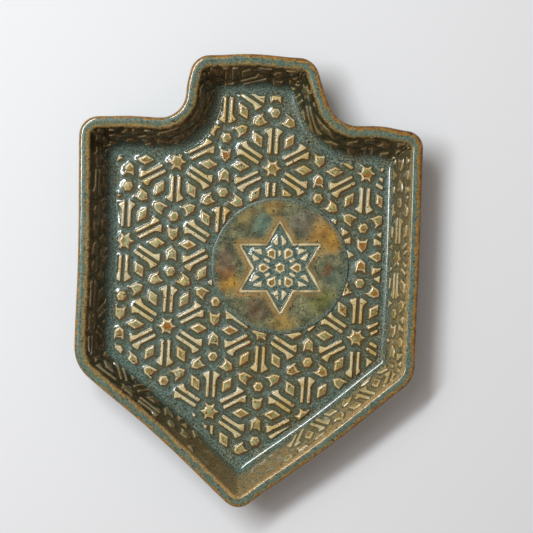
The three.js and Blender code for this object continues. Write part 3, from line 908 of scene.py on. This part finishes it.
# The seam coil was pressed into the corner with a finger: a shallow curve that tightens at the wall.
SHALLOW_CURVE, SHALLOW_TURN = 8, math.radians(20)
SEAM_STEPS = 7
WELD = 0.02
across = SHALLOW_CURVE * math.sin(SHALLOW_TURN)
up = SHALLOW_CURVE * (1 - math.cos(SHALLOW_TURN))
tight_across = math.sin(WALL_ANGLE) - math.sin(SHALLOW_TURN)
tight_up = math.cos(SHALLOW_TURN) - math.cos(WALL_ANGLE)
tight_curve = (SEAM_LEG - across + up * math.tan(LEAN)) / (tight_across - tight_up * math.tan(LEAN))
seam_line = []
for step in range(SEAM_STEPS):
    turn = SHALLOW_TURN * step / SEAM_STEPS
    seam_line.append((CREASE + SEAM_LEG - SHALLOW_CURVE * math.sin(turn),
                      FLOOR_TOP + SHALLOW_CURVE * (1 - math.cos(turn))))
for step in range(SEAM_STEPS + 1):
    turn = SHALLOW_TURN + (WALL_ANGLE - SHALLOW_TURN) * step / SEAM_STEPS
    seam_line.append((CREASE + SEAM_LEG - across - tight_curve * (math.sin(turn) - math.sin(SHALLOW_TURN)),
                      FLOOR_TOP + up + tight_curve * (math.cos(SHALLOW_TURN) - math.cos(turn))))
seam_end = (float(inset_at(SEAM_LEG)), FLOOR_TOP + SEAM_LEG * math.cos(LEAN))
if math.dist(seam_line[-1], seam_end) > WELD / 4:
    seam_line.append(seam_end)
seam_length = sum(math.dist(a, b) for a, b in zip(seam_line, seam_line[1:]))
seam_profile = with_rise(seam_line, -seam_length / 2)[::-1]

# Over the rim the clay is crowned, with a tighter curve at both edges. Outside, the wall leans in to
# the slab, whose lower edge is rounded off.
CROWN_WIDTH = 3
CROWN_TILT = math.radians(10)
RIM_CURVE = 1.8
FOOT_CURVE = 1.5
JOIN_GROOVE = 0.3
BAND_TOP = FLOOR_TOP - 0.6
INNER_STEPS, CROWN_STEPS, OUTER_STEPS, WALL_STEPS, FOOT_STEPS = 7, 6, 10, 16, 4
side = (RIM_WIDTH - CROWN_WIDTH) / 2
crown_curve = CROWN_WIDTH / 2 / math.sin(CROWN_TILT)
crown_edge = RIM_TOP - crown_curve * (1 - math.cos(CROWN_TILT))


def rim_point(inset, outwards, tilt):
    """A point of the tighter curve from an inset outwards, or inwards for -1, at a tilt of the clay."""
    return (inset - outwards * RIM_CURVE * (math.sin(tilt) - math.sin(CROWN_TILT)),
            crown_edge - RIM_CURVE * (math.cos(CROWN_TILT) - math.cos(tilt)))


profile = [tuple(RIM_EDGE)]
for step in range(1, INNER_STEPS + 1):
    tilt = WALL_ANGLE + (CROWN_TILT - WALL_ANGLE) * step / INNER_STEPS
    profile.append(rim_point(RIM_WIDTH - side, -1, tilt))
for step in range(1, CROWN_STEPS):
    tilt = CROWN_TILT * (1 - 2 * step / CROWN_STEPS)
    profile.append((RIM_WIDTH / 2 + crown_curve * math.sin(tilt),
                    RIM_TOP - crown_curve * (1 - math.cos(tilt))))
for step in range(OUTER_STEPS + 1):
    tilt = CROWN_TILT + (math.pi / 2 + LEAN - CROWN_TILT) * step / OUTER_STEPS
    profile.append(rim_point(side, 1, tilt))
start, end = profile[-1], (OUTER_FOOT, FLOOR_TOP)
for step in range(1, WALL_STEPS):
    profile.append(tuple(a + (b - a) * step / WALL_STEPS for a, b in zip(start, end)))
profile.append((OUTER_FOOT + JOIN_GROOVE, FLOOR_TOP))
wall_section = with_rise(profile, WALL_REACH)[::-1]
profile = [profile[-1]]
for step in range(FOOT_STEPS + 1):
    profile.append((OUTER_FOOT, BAND_TOP - (BAND_TOP - FOOT_CURVE) * step / FOOT_STEPS))
for step in range(1, FOOT_STEPS + 1):
    angle = math.pi / 2 * step / FOOT_STEPS
    profile.append((OUTER_FOOT + FOOT_CURVE * (1 - math.cos(angle)), FOOT_CURVE * (1 - math.sin(angle))))
edge_section = with_rise(profile, wall_section[0][2])[::-1]

# All visible faces together give the shared normals, so that the slip-smoothed joins don't show.
# Where the glaze creeps up to a motif, they are smoothed like a liquid's surface.
CREEP_LEVEL, FOOT_LEVEL = 0.01, 0.19
SMOOTHINGS = 3
MITRE_REACH, CUT_SNAP = 34, 0.01
FLOOR_PART, SEAM_PART, WALL_PART, HIDDEN_PART = range(4)
skin = bmesh.new()
add_to(skin, floor_sheet, FLOOR_PART)
add_to(skin, wall_sheet, WALL_PART)
add_to(skin, sweep(seam_profile, 0, len(stations)), SEAM_PART)
add_to(skin, sweep(wall_section, 0, len(stations)), WALL_PART)
add_to(skin, sweep(edge_section, 0, len(stations)), FLOOR_PART)
bmesh.ops.remove_doubles(skin, verts=skin.verts, dist=WELD)

# Each wall runs clockwise between two corners. The skin is cut along the mitres there, and every face
# is marked with the piece that it belongs to.
WALLS = {
    "wall_head_top": ("head_left", "head_right"),
    "wall_neck_right": ("head_right", "shoulder_right"),
    "wall_side_right": ("shoulder_right", "hip_right"),
    "wall_point_right": ("hip_right", "tip"),
    "wall_point_left": ("tip", "hip_left"),
    "wall_side_left": ("hip_left", "shoulder_left"),
    "wall_neck_left": ("shoulder_left", "head_left"),
}
wall_after = {ends[0]: wall for wall, ends in WALLS.items()}
wall_before = {ends[1]: wall for wall, ends in WALLS.items()}
mitre_places = {name: Vector(places[names.index(name)]) for name in wall_after}
mitre_along = {name: Vector(frames[names.index(name)]["before"] + frames[names.index(name)]["after"])
               for name in wall_after}
for name, middle in mitre_places.items():
    near = [face for face in skin.faces if face.material_index == WALL_PART
            and (face.calc_center_median().xy - middle).length < MITRE_REACH]
    geom = set(near)
    for face in near:
        geom.update(face.edges)
        geom.update(face.verts)
    bmesh.ops.bisect_plane(skin, geom=list(geom), dist=CUT_SNAP, plane_co=(*middle, 0),
                           plane_no=(*mitre_along[name], 0))
skin.normal_update()
normal_tree = kdtree.KDTree(len(skin.verts))
relief_layer = skin.verts.layers.float["relief"]
skin.verts.index_update()
skin_normals = [vert.normal.copy() for vert in skin.verts]
for index, vert in enumerate(skin.verts):
    normal_tree.insert(vert.co, index)
creeping = [vert for vert in skin.verts if CREEP_LEVEL < vert[relief_layer] < FOOT_LEVEL]
for _ in range(SMOOTHINGS):
    smoothed = []
    for vert in creeping:
        around = [edge.other_vert(vert) for edge in vert.link_edges]
        near = [skin_normals[other.index] for other in around if other[relief_layer] < FOOT_LEVEL]
        smoothed.append(sum(near, skin_normals[vert.index] * 2).normalized())
    for vert, normal in zip(creeping, smoothed):
        skin_normals[vert.index] = normal
normal_tree.balance()

owner_names = ["floor_slab", "seam_coil", *WALLS]
owner_layer = skin.faces.layers.int.new("owner")
for face in skin.faces:
    owner = "seam_coil" if face.material_index == SEAM_PART else "floor_slab"
    if face.material_index == WALL_PART:
        centre = face.calc_center_median().xy
        name = min(mitre_places, key=lambda k: (centre - mitre_places[k]).length_squared)
        side_of = wall_after if (centre - mitre_places[name]).dot(mitre_along[name]) > 0 else wall_before
        owner = side_of[name]
    face[owner_layer] = owner_names.index(owner)
skin_mesh = bpy.data.meshes.new("skin")
skin.to_mesh(skin_mesh)


def closed_piece(name, hidden, first, last):
    """A closed bmesh: the piece's own faces of the skin, a hidden section under them, and its ends."""
    bm = bmesh.new()
    bm.from_mesh(skin_mesh)
    own = bm.faces.layers.int["owner"]
    others = [face for face in bm.faces if face[own] != owner_names.index(name)]
    bmesh.ops.delete(bm, geom=others, context="FACES")
    add_to(bm, sweep([(inset, height, 0) for inset, height in hidden], first, last), HIDDEN_PART)
    bmesh.ops.remove_doubles(bm, verts=bm.verts, dist=WELD)
    shell = set(bm.faces)
    bmesh.ops.holes_fill(bm, edges=[edge for edge in bm.edges if edge.is_boundary], sides=0)
    bmesh.ops.recalc_face_normals(bm, faces=bm.faces)
    for face in bm.faces:
        face.smooth = face in shell and face.material_index != HIDDEN_PART
        face.material_index = 0
    return bm


def finished(name, bm, material):
    """Makes the mesh object of a piece, in metres, with the skin's normals where it is seen."""
    mesh = bpy.data.meshes.new(name + "_clay")
    bm.to_mesh(mesh)
    bm.free()
    vert_normals = []
    for vert in mesh.vertices:
        _, index, distance = normal_tree.find(vert.co)
        vert_normals.append(skin_normals[index] if distance < 2 * WELD else Vector((0, 0, 0)))
    loop_normals = [Vector((0, 0, 0))] * len(mesh.loops)
    for face in mesh.polygons:
        if face.use_smooth:
            for k in face.loop_indices:
                loop_normals[k] = vert_normals[mesh.loops[k].vertex_index]
    mesh.transform(Matrix.Scale(MM, 4))
    mesh.normals_split_custom_set(loop_normals)
    for layer in {"height", "motif", "owner"} & set(mesh.attributes.keys()):
        mesh.attributes.remove(mesh.attributes[layer])
    mesh.materials.append(material)
    piece = placed(name + "_clay", mesh)
    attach(piece, "root")
    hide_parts(name)


# The glaze is a glossy teal one on buff stoneware. It runs off raised edges, where it turns cream and
# brown, and pools in hollows. The attribute relief tells how far up a motif a point lies, and rise
# how far along the clay from the crease, over the rim and down to the foot.
GRAIN, MOTTLE, DRIFT = 0.8, 3.2, 13
NOISE_SPAN = (0.35, 0.65)
TEAL_GROUND = [(0.36, "#3E4C43"), (0.46, "#52655A"), (0.55, "#60746A"), (0.67, "#7B8B81")]
OLIVE_GROUND = [(0.36, "#34372A"), (0.46, "#565A46"), (0.55, "#696D57"), (0.67, "#989985")]

glaze = Shader("teal_glaze_on_stoneware")
place = glaze.add("ShaderNodeTexCoord")["Object"]
facing = glaze.add("ShaderNodeTexCoord")["Normal"]
axes = glaze.add("ShaderNodeSeparateXYZ", {"Vector": place})
relief, rise = glaze.attribute("relief"), glaze.attribute("rise")
grain, mottle = glaze.noise(place, GRAIN, 3.0), glaze.noise(place, MOTTLE, 3.0)
drift = glaze.noise(place, DRIFT, 2.0)
uneven = glaze.calculate("SUBTRACT", mottle, 0.5)

# The floor is teal at the left and turns to olive at the right, where the kiln was hotter.
WARM_SLOPE, WARM_SPAN = 1.4, (0.38, 0.7)
warmth = glaze.spread(glaze.calculate("MULTIPLY_ADD", axes["X"], WARM_SLOPE, drift), *WARM_SPAN)
teal = glaze.ramp(grain, TEAL_GROUND)
ground = glaze.mix(warmth, teal, glaze.ramp(grain, OLIVE_GROUND))

# Up the wall the glaze runs thin and brown, with some teal left in blotches. Painted shade darkens
# the walls facing away from the lamp, at the left and the head; painted light turns the lower right golden.
WALL_SHADED_BROWN, WALL_LIT_GOLD = "#29250F", "#A89164"
LIT_SLOPE_X, LIT_SLOPE_Y, LIT_SPAN = 8.0, -6.0, (0.05, 1.0)
COARSENESS = (0.7, 1.3)
TEAL_SPAN, TEAL_SHARE = (0.5, 0.62), 0.7
WALL_SPAN = (1.5, 6.5)
# The share of painted light on the walls: 0 in painted shade at the upper left, 1 lit at the lower right.
lit_side = glaze.calculate("MULTIPLY", axes["X"], LIT_SLOPE_X)
lit_side = glaze.spread(glaze.calculate("MULTIPLY_ADD", axes["Y"], LIT_SLOPE_Y, lit_side), *LIT_SPAN)
browned = glaze.mix(lit_side, WALL_SHADED_BROWN, WALL_LIT_GOLD)
browned = glaze.mix(1.0, browned, glaze.spread(grain, *NOISE_SPAN, *COARSENESS), "MULTIPLY")
teal_left = glaze.calculate("MULTIPLY", glaze.spread(mottle, *TEAL_SPAN), lit_side)
browned = glaze.mix(glaze.calculate("MULTIPLY", teal_left, TEAL_SHARE), browned, teal)
on_wall = glaze.spread(rise, *WALL_SPAN)
ground = glaze.mix(on_wall, ground, browned)

# Motifs: a dark line of thick glaze at the foot, brown sides, cream edges, and pools in the dishes.
# The sides that face away from the lamp, at the right and below, get painted shade in brown. The ramp's
# places are half the relief levels.
GLAZE_RELIEF = [(0.0, "#5A6454"), (0.1, "#4C5340"), (0.2, "#6A5F42"), (0.3, "#A38F64"), (0.41, "#CFBF98"),
                (0.52, "#E0D6B4"), (0.62, "#D6C698"), (0.72, "#BA9656"), (0.82, "#936A32"), (1.0, "#857A48")]
POOL = [(0.38, "#9C6528"), (0.45, "#96844C"), (0.52, "#8F9872"), (0.64, "#C0BE96")]
POOL_DRIFT, POOL_MOTTLE, POOL_SPAN = 0.6, 0.4, (1.4, 1.85)
RAMP_SCALE = 0.5
TONE_WANDER, POOL_WANDER = 0.8, 1.5
SHADE_DIRECTION, SHADE_SPAN, SHADE_SHARE, PAINTED_SHADE_BROWN = (0.8, -0.6, 0), (0.08, 0.4), 0.85, "#74481F"
SPECK_SPAN, SPECKS = (0.36, 0.58), (0.72, 1.06)
GOLDEN, WALL_MOTIF_SHADE = "#F4E2B8", (0.66, 0.1)
RAISED_SPAN = (0.06, 0.2)
tone = glaze.calculate("MULTIPLY_ADD", uneven, TONE_WANDER, relief)
raised = glaze.ramp(glaze.calculate("MULTIPLY", tone, RAMP_SCALE), GLAZE_RELIEF)
pool_kind = glaze.calculate("MULTIPLY", drift, POOL_DRIFT)
pool = glaze.ramp(glaze.calculate("MULTIPLY_ADD", mottle, POOL_MOTTLE, pool_kind), POOL)
in_pool = glaze.spread(glaze.calculate("MULTIPLY_ADD", uneven, POOL_WANDER, relief), *POOL_SPAN)
raised = glaze.mix(in_pool, raised, pool)
# Painted shade: sides whose normal points to the lower right, away from the lamp, are mixed towards brown.
facing_shade_side = glaze.vectors("DOT_PRODUCT", facing, SHADE_DIRECTION, output=1)
raised = glaze.mix(glaze.spread(facing_shade_side, *SHADE_SPAN, 0.0, SHADE_SHARE), raised, PAINTED_SHADE_BROWN)
raised = glaze.mix(1.0, raised, glaze.spread(grain, *SPECK_SPAN, *SPECKS), "MULTIPLY")
golden = glaze.mix(warmth, raised, GOLDEN, "MULTIPLY")
# Painted shade: on walls away from the lamp the motifs take most of the wall's shaded colour, on lit walls
# little.
wall_motif_shade = glaze.calculate("MULTIPLY", glaze.spread(lit_side, 0.0, 1.0, *WALL_MOTIF_SHADE), on_wall)
raised = glaze.mix(wall_motif_shade, golden, browned)
colour = glaze.mix(glaze.spread(relief, *RAISED_SPAN), ground, raised)

# The rim's crown is grey-green, between an ochre line outside and a ragged ochre edge inside. The
# bands lie further in at the right. The inner edge is painted paler at the lower right, where it faces the
# lamp: painted light.
RIM_BANDS = 8.3
RIM_TONES = [(0.0, "#5E4E2C"), (0.1, "#70562E"), (0.2, "#96784A"), (0.3, "#8E7A4A"), (0.39, "#6E7256"),
             (0.47, "#5F6E60"), (0.65, "#5D6E60"), (0.71, "#7E6E44"), (0.78, "#9C7236"), (1.0, "#62401C")]
RAGGEDNESS = 4.5
RIM_START = WALL_REACH - 0.5
RIM_SPAN = (WALL_REACH - 1.2, WALL_REACH + 0.4)
FURTHER_IN, FURTHER_IN_SLOPE = 0.09, 0.3
LIT_INNER_EDGE, INNER_SPAN, INNER_SHARE = "#C09A64", (0.42, 0.3), 0.75
RIM_GRAIN = (0.6, 1.4)
ragged = glaze.calculate("MULTIPLY_ADD", uneven, RAGGEDNESS, rise)
rim = glaze.spread(ragged, RIM_START, RIM_START + RIM_BANDS)
further_in = glaze.calculate("MULTIPLY_ADD", axes["Y"], FURTHER_IN_SLOPE, axes["X"])
rim = glaze.calculate("ADD", rim, glaze.calculate("ADD", further_in, FURTHER_IN))
# Painted light: the inner edge turns pale ochre where the rim faces the lamp, at the lower right, over its
# own ochre.
lit_inner_edge = glaze.calculate("MULTIPLY", glaze.spread(rim, *INNER_SPAN, 0.0, INNER_SHARE), lit_side)
rim_colour = glaze.mix(lit_inner_edge, glaze.ramp(rim, RIM_TONES), LIT_INNER_EDGE)
rim_grain = glaze.spread(grain, *NOISE_SPAN, *RIM_GRAIN)
rim_colour = glaze.mix(1.0, rim_colour, rim_grain, "MULTIPLY")
colour = glaze.mix(glaze.spread(ragged, *RIM_SPAN), colour, rim_colour)

# Outside, the glaze runs down in teal and olive and stops above the bare buff foot.
OUTER_TONES = [(0.35, "#5C6244"), (0.5, "#5D776C"), (0.62, "#5F5A38"), (0.75, "#7A5C30")]
CLAY_TONES = [(0.35, "#A98B67"), (0.65, "#BFA27C")]
OUTSIDE_SPAN = (WALL_REACH + 7, WALL_REACH + 14)
FOOT_START, FOOT_BLUR = edge_section[-1][2] + 3.2, 0.15
outer = glaze.mix(1.0, glaze.ramp(drift, OUTER_TONES), rim_grain, "MULTIPLY")
colour = glaze.mix(glaze.spread(ragged, *OUTSIDE_SPAN), colour, outer)
bare = glaze.spread(ragged, FOOT_START - FOOT_BLUR, FOOT_START + FOOT_BLUR)
colour = glaze.mix(bare, colour, glaze.ramp(mottle, CLAY_TONES))

# Dark iron pits sit in the glaze, and its surface ripples a little. The bare clay is matt.
PIT = 1.1
PITS = ((0.73, 0.78), 1.0, "#3E2414")
RIPPLE = 0.03
GLOSSY, MATT = 0.1, 0.75
GLAZE_IOR = 1.52


def fired(shader, place, ripples, colour, pits, roughness):
    """The finished material of a glaze. Pits are their span of noise, share and colour."""
    span, share, pit_colour = pits
    pit = shader.spread(shader.noise(place, PIT, 0.0), *span, 0.0, share)
    bump = shader.add("ShaderNodeBump", {"Strength": 1.0, "Distance": RIPPLE * MM, "Height": ripples})[0]
    surface = {"Base Color": shader.mix(pit, colour, pit_colour), "Roughness": roughness, "IOR": GLAZE_IOR,
               "Normal": bump}
    return shader.with_surface(shader.add("ShaderNodeBsdfPrincipled", surface)[0])


floor_glaze = fired(glaze, place, mottle, colour, PITS, glaze.spread(bare, 0.0, 1.0, GLOSSY, MATT))
wall_glaze = floor_glaze.copy()
wall_glaze.name = "teal_and_brown_glaze_on_stoneware"

# Floor, coil and walls meet on hidden lines: under the wall, and a little in and down from the crease.
UNDER_CREASE = (0.4, 0.5)
seam_top, seam_foot = seam_profile[0][:2], seam_profile[-1][:2]
under_wall = (OUTER_FOOT + JOIN_GROOVE, FLOOR_TOP)
crease_line = (CREASE - UNDER_CREASE[0], FLOOR_TOP - UNDER_CREASE[1])
whole = (0, len(stations))
for name, hidden in {"floor_slab": [under_wall, crease_line, seam_foot],
                     "seam_coil": [seam_foot, crease_line, seam_top]}.items():
    finished(name, closed_piece(name, hidden, *whole), floor_glaze)
for name, ends in WALLS.items():
    first, last = (mitre_stations[end] for end in ends)
    if last < first:
        last += len(stations)
    piece = closed_piece(name, [under_wall, crease_line, seam_top], first, last)
    finished(name, piece, wall_glaze)

# The medallion is a thin disc of clay, laid on the floor and stamped with a six-pointed star whose
# hollow holds small raised motifs. Its edge is smoothed into the floor by the glaze.
STAMP_CENTRE = Vector((17.3, 7.3))
STAMP_TURN = 2.7
STAMP_TIP = 23.3
DISC_HEIGHT = 1.4
DISC_EDGE = [(0.0, 0.2), (0.1, 0.9), (0.25, 1.22), (0.5, 1.32), (1.5, 1.37), (3.5, 1.4)]
STAR_EDGE = [(-0.9, 0.32), (-0.6, 0.38), (-0.3, 0.8), (0.0, 1.3), (0.35, 1.42), (1.4, 1.4)]
STAR_TONES = [(-0.95, 0.17), (-0.3, 0.5), (0.05, 0.85), (0.3, 0.92), (0.7, 0.72), (1.2, 0.44), (2.0, 0.2),
              (4.4, 0.0)]
TONE_CHANGE, TONE_LENGTH = 0.5, 6
DISC_SWELL, DISC_SWELL_LENGTH = 0.16, 11
CENTRE_STAR = (3, 2.2)
KITE = [(4.8, 0), (8.6, -2.5), (10.9, -1.5), (10.9, 1.5), (8.6, 2.5)]
SPOKE = [(6.1, -0.6), (8.9, -0.6), (8.9, 0.6), (6.1, 0.6)]
WEDGE = [(11.3, 1.2), (17.4, 0.7), (13.3, 3.6)]
INFILL_SIDE = 0.1
DISC_STEPS, STAR_STEP = 220, 0.9
DISC_ROOM, STAR_ROOM = 3.4, (-1.2, 1.8)


def turned(outline, degrees):
    """The outline turned about the stamp's middle and moved into its place."""
    matrix = Matrix.Rotation(math.radians(degrees + STAMP_TURN), 2)
    return [matrix @ Vector(point) + STAMP_CENTRE for point in outline]


hexagram = []
for turn in range(30, 390, 60):
    hexagram += [polar(STAMP_TIP, turn), polar(STAMP_TIP / math.sqrt(3), turn + 30)]
hexagram = turned(hexagram, 0)
infill = [turned(star_outline(*CENTRE_STAR), 30)]
for turn in range(30, 390, 60):
    infill.append(turned(KITE, turn + 30))
    infill.append(turned(SPOKE, turn))
    infill.append(turned(WEDGE, turn))
    infill.append(turned([(x, -y) for x, y in WEDGE][::-1], turn))
infill = [simplified(outline, INFILL_SIDE) for outline in infill]


def star_distance(points):
    """How far points lie outside the star's outline, negative inside it."""
    nearest = np.full(len(points), FAR)
    for start, end in following(hexagram):
        along = np.array(end - start)
        away = points - np.array(start)
        part = np.clip(away @ along / (along @ along), 0, 1)
        nearest = np.minimum(nearest, np.linalg.norm(away - part[:, None] * along, axis=1))
    return np.where(within(points, [tuple(point) for point in hexagram]), -nearest, nearest)


borders = [circle(DISC_CENTRE, DISC_RADIUS - inset, DISC_STEPS) for inset, _ in DISC_EDGE]
borders += [divided(grown(hexagram, distance), STAR_STEP) for distance, _ in STAR_EDGE]
half = Vector((DISC_RADIUS + 0.5, DISC_RADIUS + 0.5))
ground = scatter(DISC_CENTRE - half, DISC_CENTRE + half, GROUND_STEP, seed=5)
disc_inset = DISC_RADIUS - np.linalg.norm(ground - np.array(DISC_CENTRE), axis=1)
off_star = star_distance(ground)
off_lip = (off_star < STAR_ROOM[0]) | (off_star > STAR_ROOM[1])
disc_ring = [tuple(point) for point in borders[0]]
disc_sheet = pattern_sheet(
    infill,
    borders,
    ground[(disc_inset > DISC_ROOM) & off_lip],
    lambda points: within(points, disc_ring),
    lambda points: np.ones(len(points)),
)
flat = np.array([(vert.co.x, vert.co.y) for vert in disc_sheet.verts])
off_star = star_distance(flat)
disc_inset = DISC_RADIUS - np.linalg.norm(flat - np.array(DISC_CENTRE), axis=1)
base = np.minimum(np.interp(off_star, *zip(*STAR_EDGE)), np.interp(disc_inset, *zip(*DISC_EDGE)))
lip = np.interp(off_star, *zip(*STAR_TONES))
height_layer = disc_sheet.verts.layers.float["height"]
relief_layer = disc_sheet.verts.layers.float["relief"]
rise_layer = disc_sheet.verts.layers.float.new("rise")
for vert, level, tone in zip(disc_sheet.verts, base, lip):
    spot = Vector((vert.co.x, vert.co.y, 0))
    swelling = DISC_SWELL * noise.noise(spot / DISC_SWELL_LENGTH) * min(level / DISC_HEIGHT, 1)
    vert.co.z = FLOOR_TOP + level + vert[height_layer] + swelling
    change = 1 + TONE_CHANGE * noise.noise(spot / TONE_LENGTH)
    vert[relief_layer] = max(vert[relief_layer], tone * change)
    vert[rise_layer] = level
for face in disc_sheet.faces:
    face.smooth = True
rim_edges = [edge for edge in disc_sheet.edges if edge.is_boundary]
lowered = bmesh.ops.extrude_edge_only(disc_sheet, edges=rim_edges)["geom"]
for element in lowered:
    if isinstance(element, bmesh.types.BMVert):
        element.co.z = FLOOR_TOP
bmesh.ops.holes_fill(disc_sheet, edges=[edge for edge in disc_sheet.edges if edge.is_boundary], sides=0)
bmesh.ops.recalc_face_normals(disc_sheet, faces=disc_sheet.faces)

# Its glaze is thinner and more mottled than the floor's, with amber and purple-brown patches, golden
# along the star and teal in its hollow and at the disc's edge. A patch is x, y, radius and colour.
BLOTCH, BLOTCH_SPAN, BLOTCHES = 4.5, (0.38, 0.62), (0.7, 1.16)
GRAIN_SHARE, BLOTCH_SHARE = 0.6, 0.4
WARP, WARP_REACH = 9, 14
MEDALLION_TONES = [(0.36, "#454B3B"), (0.44, "#5A624C"), (0.5, "#6A6D53"), (0.57, "#7C7854"),
                   (0.66, "#918E70")]
PATCHES = [
    (39.0, 27.0, 9.0, "#AC7E38"), (44.0, 22.0, 5.5, "#BA8C3C"), (12.0, 41.0, 6.5, "#A08044"),
    (-8.0, -2.0, 5.5, "#C09238"), (-12.0, 4.0, 5.0, "#8A6038"), (28.0, 32.0, 7.5, "#747060"),
    (-11.0, 12.0, 5.5, "#7E6A54"), (6.0, -14.0, 7.0, "#6C5840"), (20.0, -23.0, 7.0, "#9A8040"),
    (40.0, -9.0, 7.0, "#76783E"), (8.0, 29.0, 7.5, "#617A6A"), (46.0, 5.0, 6.5, "#687460"),
    (-2.0, 33.0, 6.0, "#8C7A4A"), (41.0, 8.0, 3.0, "#7E5C3C"),
]
PATCH_EDGE, PATCH_MIDDLE, PATCH_SHARE = 1.5, 0.2, 0.8
HALO, HALO_SPAN, HALO_SHARE = "#B08A50", (0.0, 0.2), 0.65
COOLER_SPAN, COOLER = (20 * MM, 36 * MM), (1.0, 0.3)
HOLLOW_SPAN = (1.1, 0.5)
EDGE_SPAN, EDGE_SHARE = (33.2 * MM, 35.2 * MM), 0.8
STAR_WANDER, STAR_SPAN = 0.3, (0.22, 0.6)
STAR_PITS = ((0.7, 0.74), 0.85, "#3E2A1C")
STAR_GLOSS = 0.12
stamped = Shader("mottled_amber_glaze_on_stoneware")
place = stamped.add("ShaderNodeTexCoord")["Object"]
relief, rise = stamped.attribute("relief"), stamped.attribute("rise")
grain, mottle = stamped.noise(place, GRAIN, 2.0), stamped.noise(place, BLOTCH, 4.0)
mix_of = stamped.calculate("MULTIPLY", grain, GRAIN_SHARE)
mix_of = stamped.calculate("MULTIPLY_ADD", mottle, BLOTCH_SHARE, mix_of)
colour = stamped.ramp(mix_of, MEDALLION_TONES)
warp = stamped.vectors("SUBTRACT", stamped.noise(place, WARP, 3.0, output=1), (0.5, 0.5, 0.5))
warp = stamped.vectors("MULTIPLY", warp, (WARP_REACH * MM,) * 3)
warped = stamped.vectors("MULTIPLY", stamped.vectors("ADD", place, warp), (1, 1, 0))
for x, y, radius, code in PATCHES:
    away = stamped.vectors("DISTANCE", warped, (x * MM, y * MM, 0), output=1)
    span = (radius * PATCH_EDGE * MM, radius * PATCH_MIDDLE * MM)
    share = stamped.spread(away, *span, 0.0, PATCH_SHARE, curve="SMOOTHSTEP")
    colour = stamped.mix(share, colour, code)
colour = stamped.mix(1.0, colour, stamped.spread(mottle, *BLOTCH_SPAN, *BLOTCHES), "MULTIPLY")
cooler = stamped.spread(stamped.add("ShaderNodeSeparateXYZ", {"Vector": warped})["X"], *COOLER_SPAN, *COOLER)
halo = stamped.calculate("MULTIPLY", stamped.spread(relief, *HALO_SPAN, 0.0, HALO_SHARE), cooler)
colour = stamped.mix(halo, colour, HALO)
from_middle = stamped.vectors("DISTANCE", place, (DISC_CENTRE.x * MM, DISC_CENTRE.y * MM, 0), output=1)
at_edge = stamped.spread(from_middle, *EDGE_SPAN, 0.0, EDGE_SHARE)
sunk = stamped.calculate("MAXIMUM", stamped.spread(rise, *HOLLOW_SPAN), at_edge)
colour = stamped.mix(sunk, colour, stamped.ramp(grain, TEAL_GROUND))
uneven = stamped.calculate("SUBTRACT", mottle, 0.5)
tone = stamped.calculate("MULTIPLY_ADD", uneven, STAR_WANDER, relief)
raised = stamped.ramp(stamped.calculate("MULTIPLY", tone, RAMP_SCALE), GLAZE_RELIEF)
colour = stamped.mix(stamped.spread(relief, *STAR_SPAN), colour, raised)
medallion_glaze = fired(stamped, place, mottle, colour, STAR_PITS, STAR_GLOSS)
finished("star_medallion", disc_sheet, medallion_glaze)
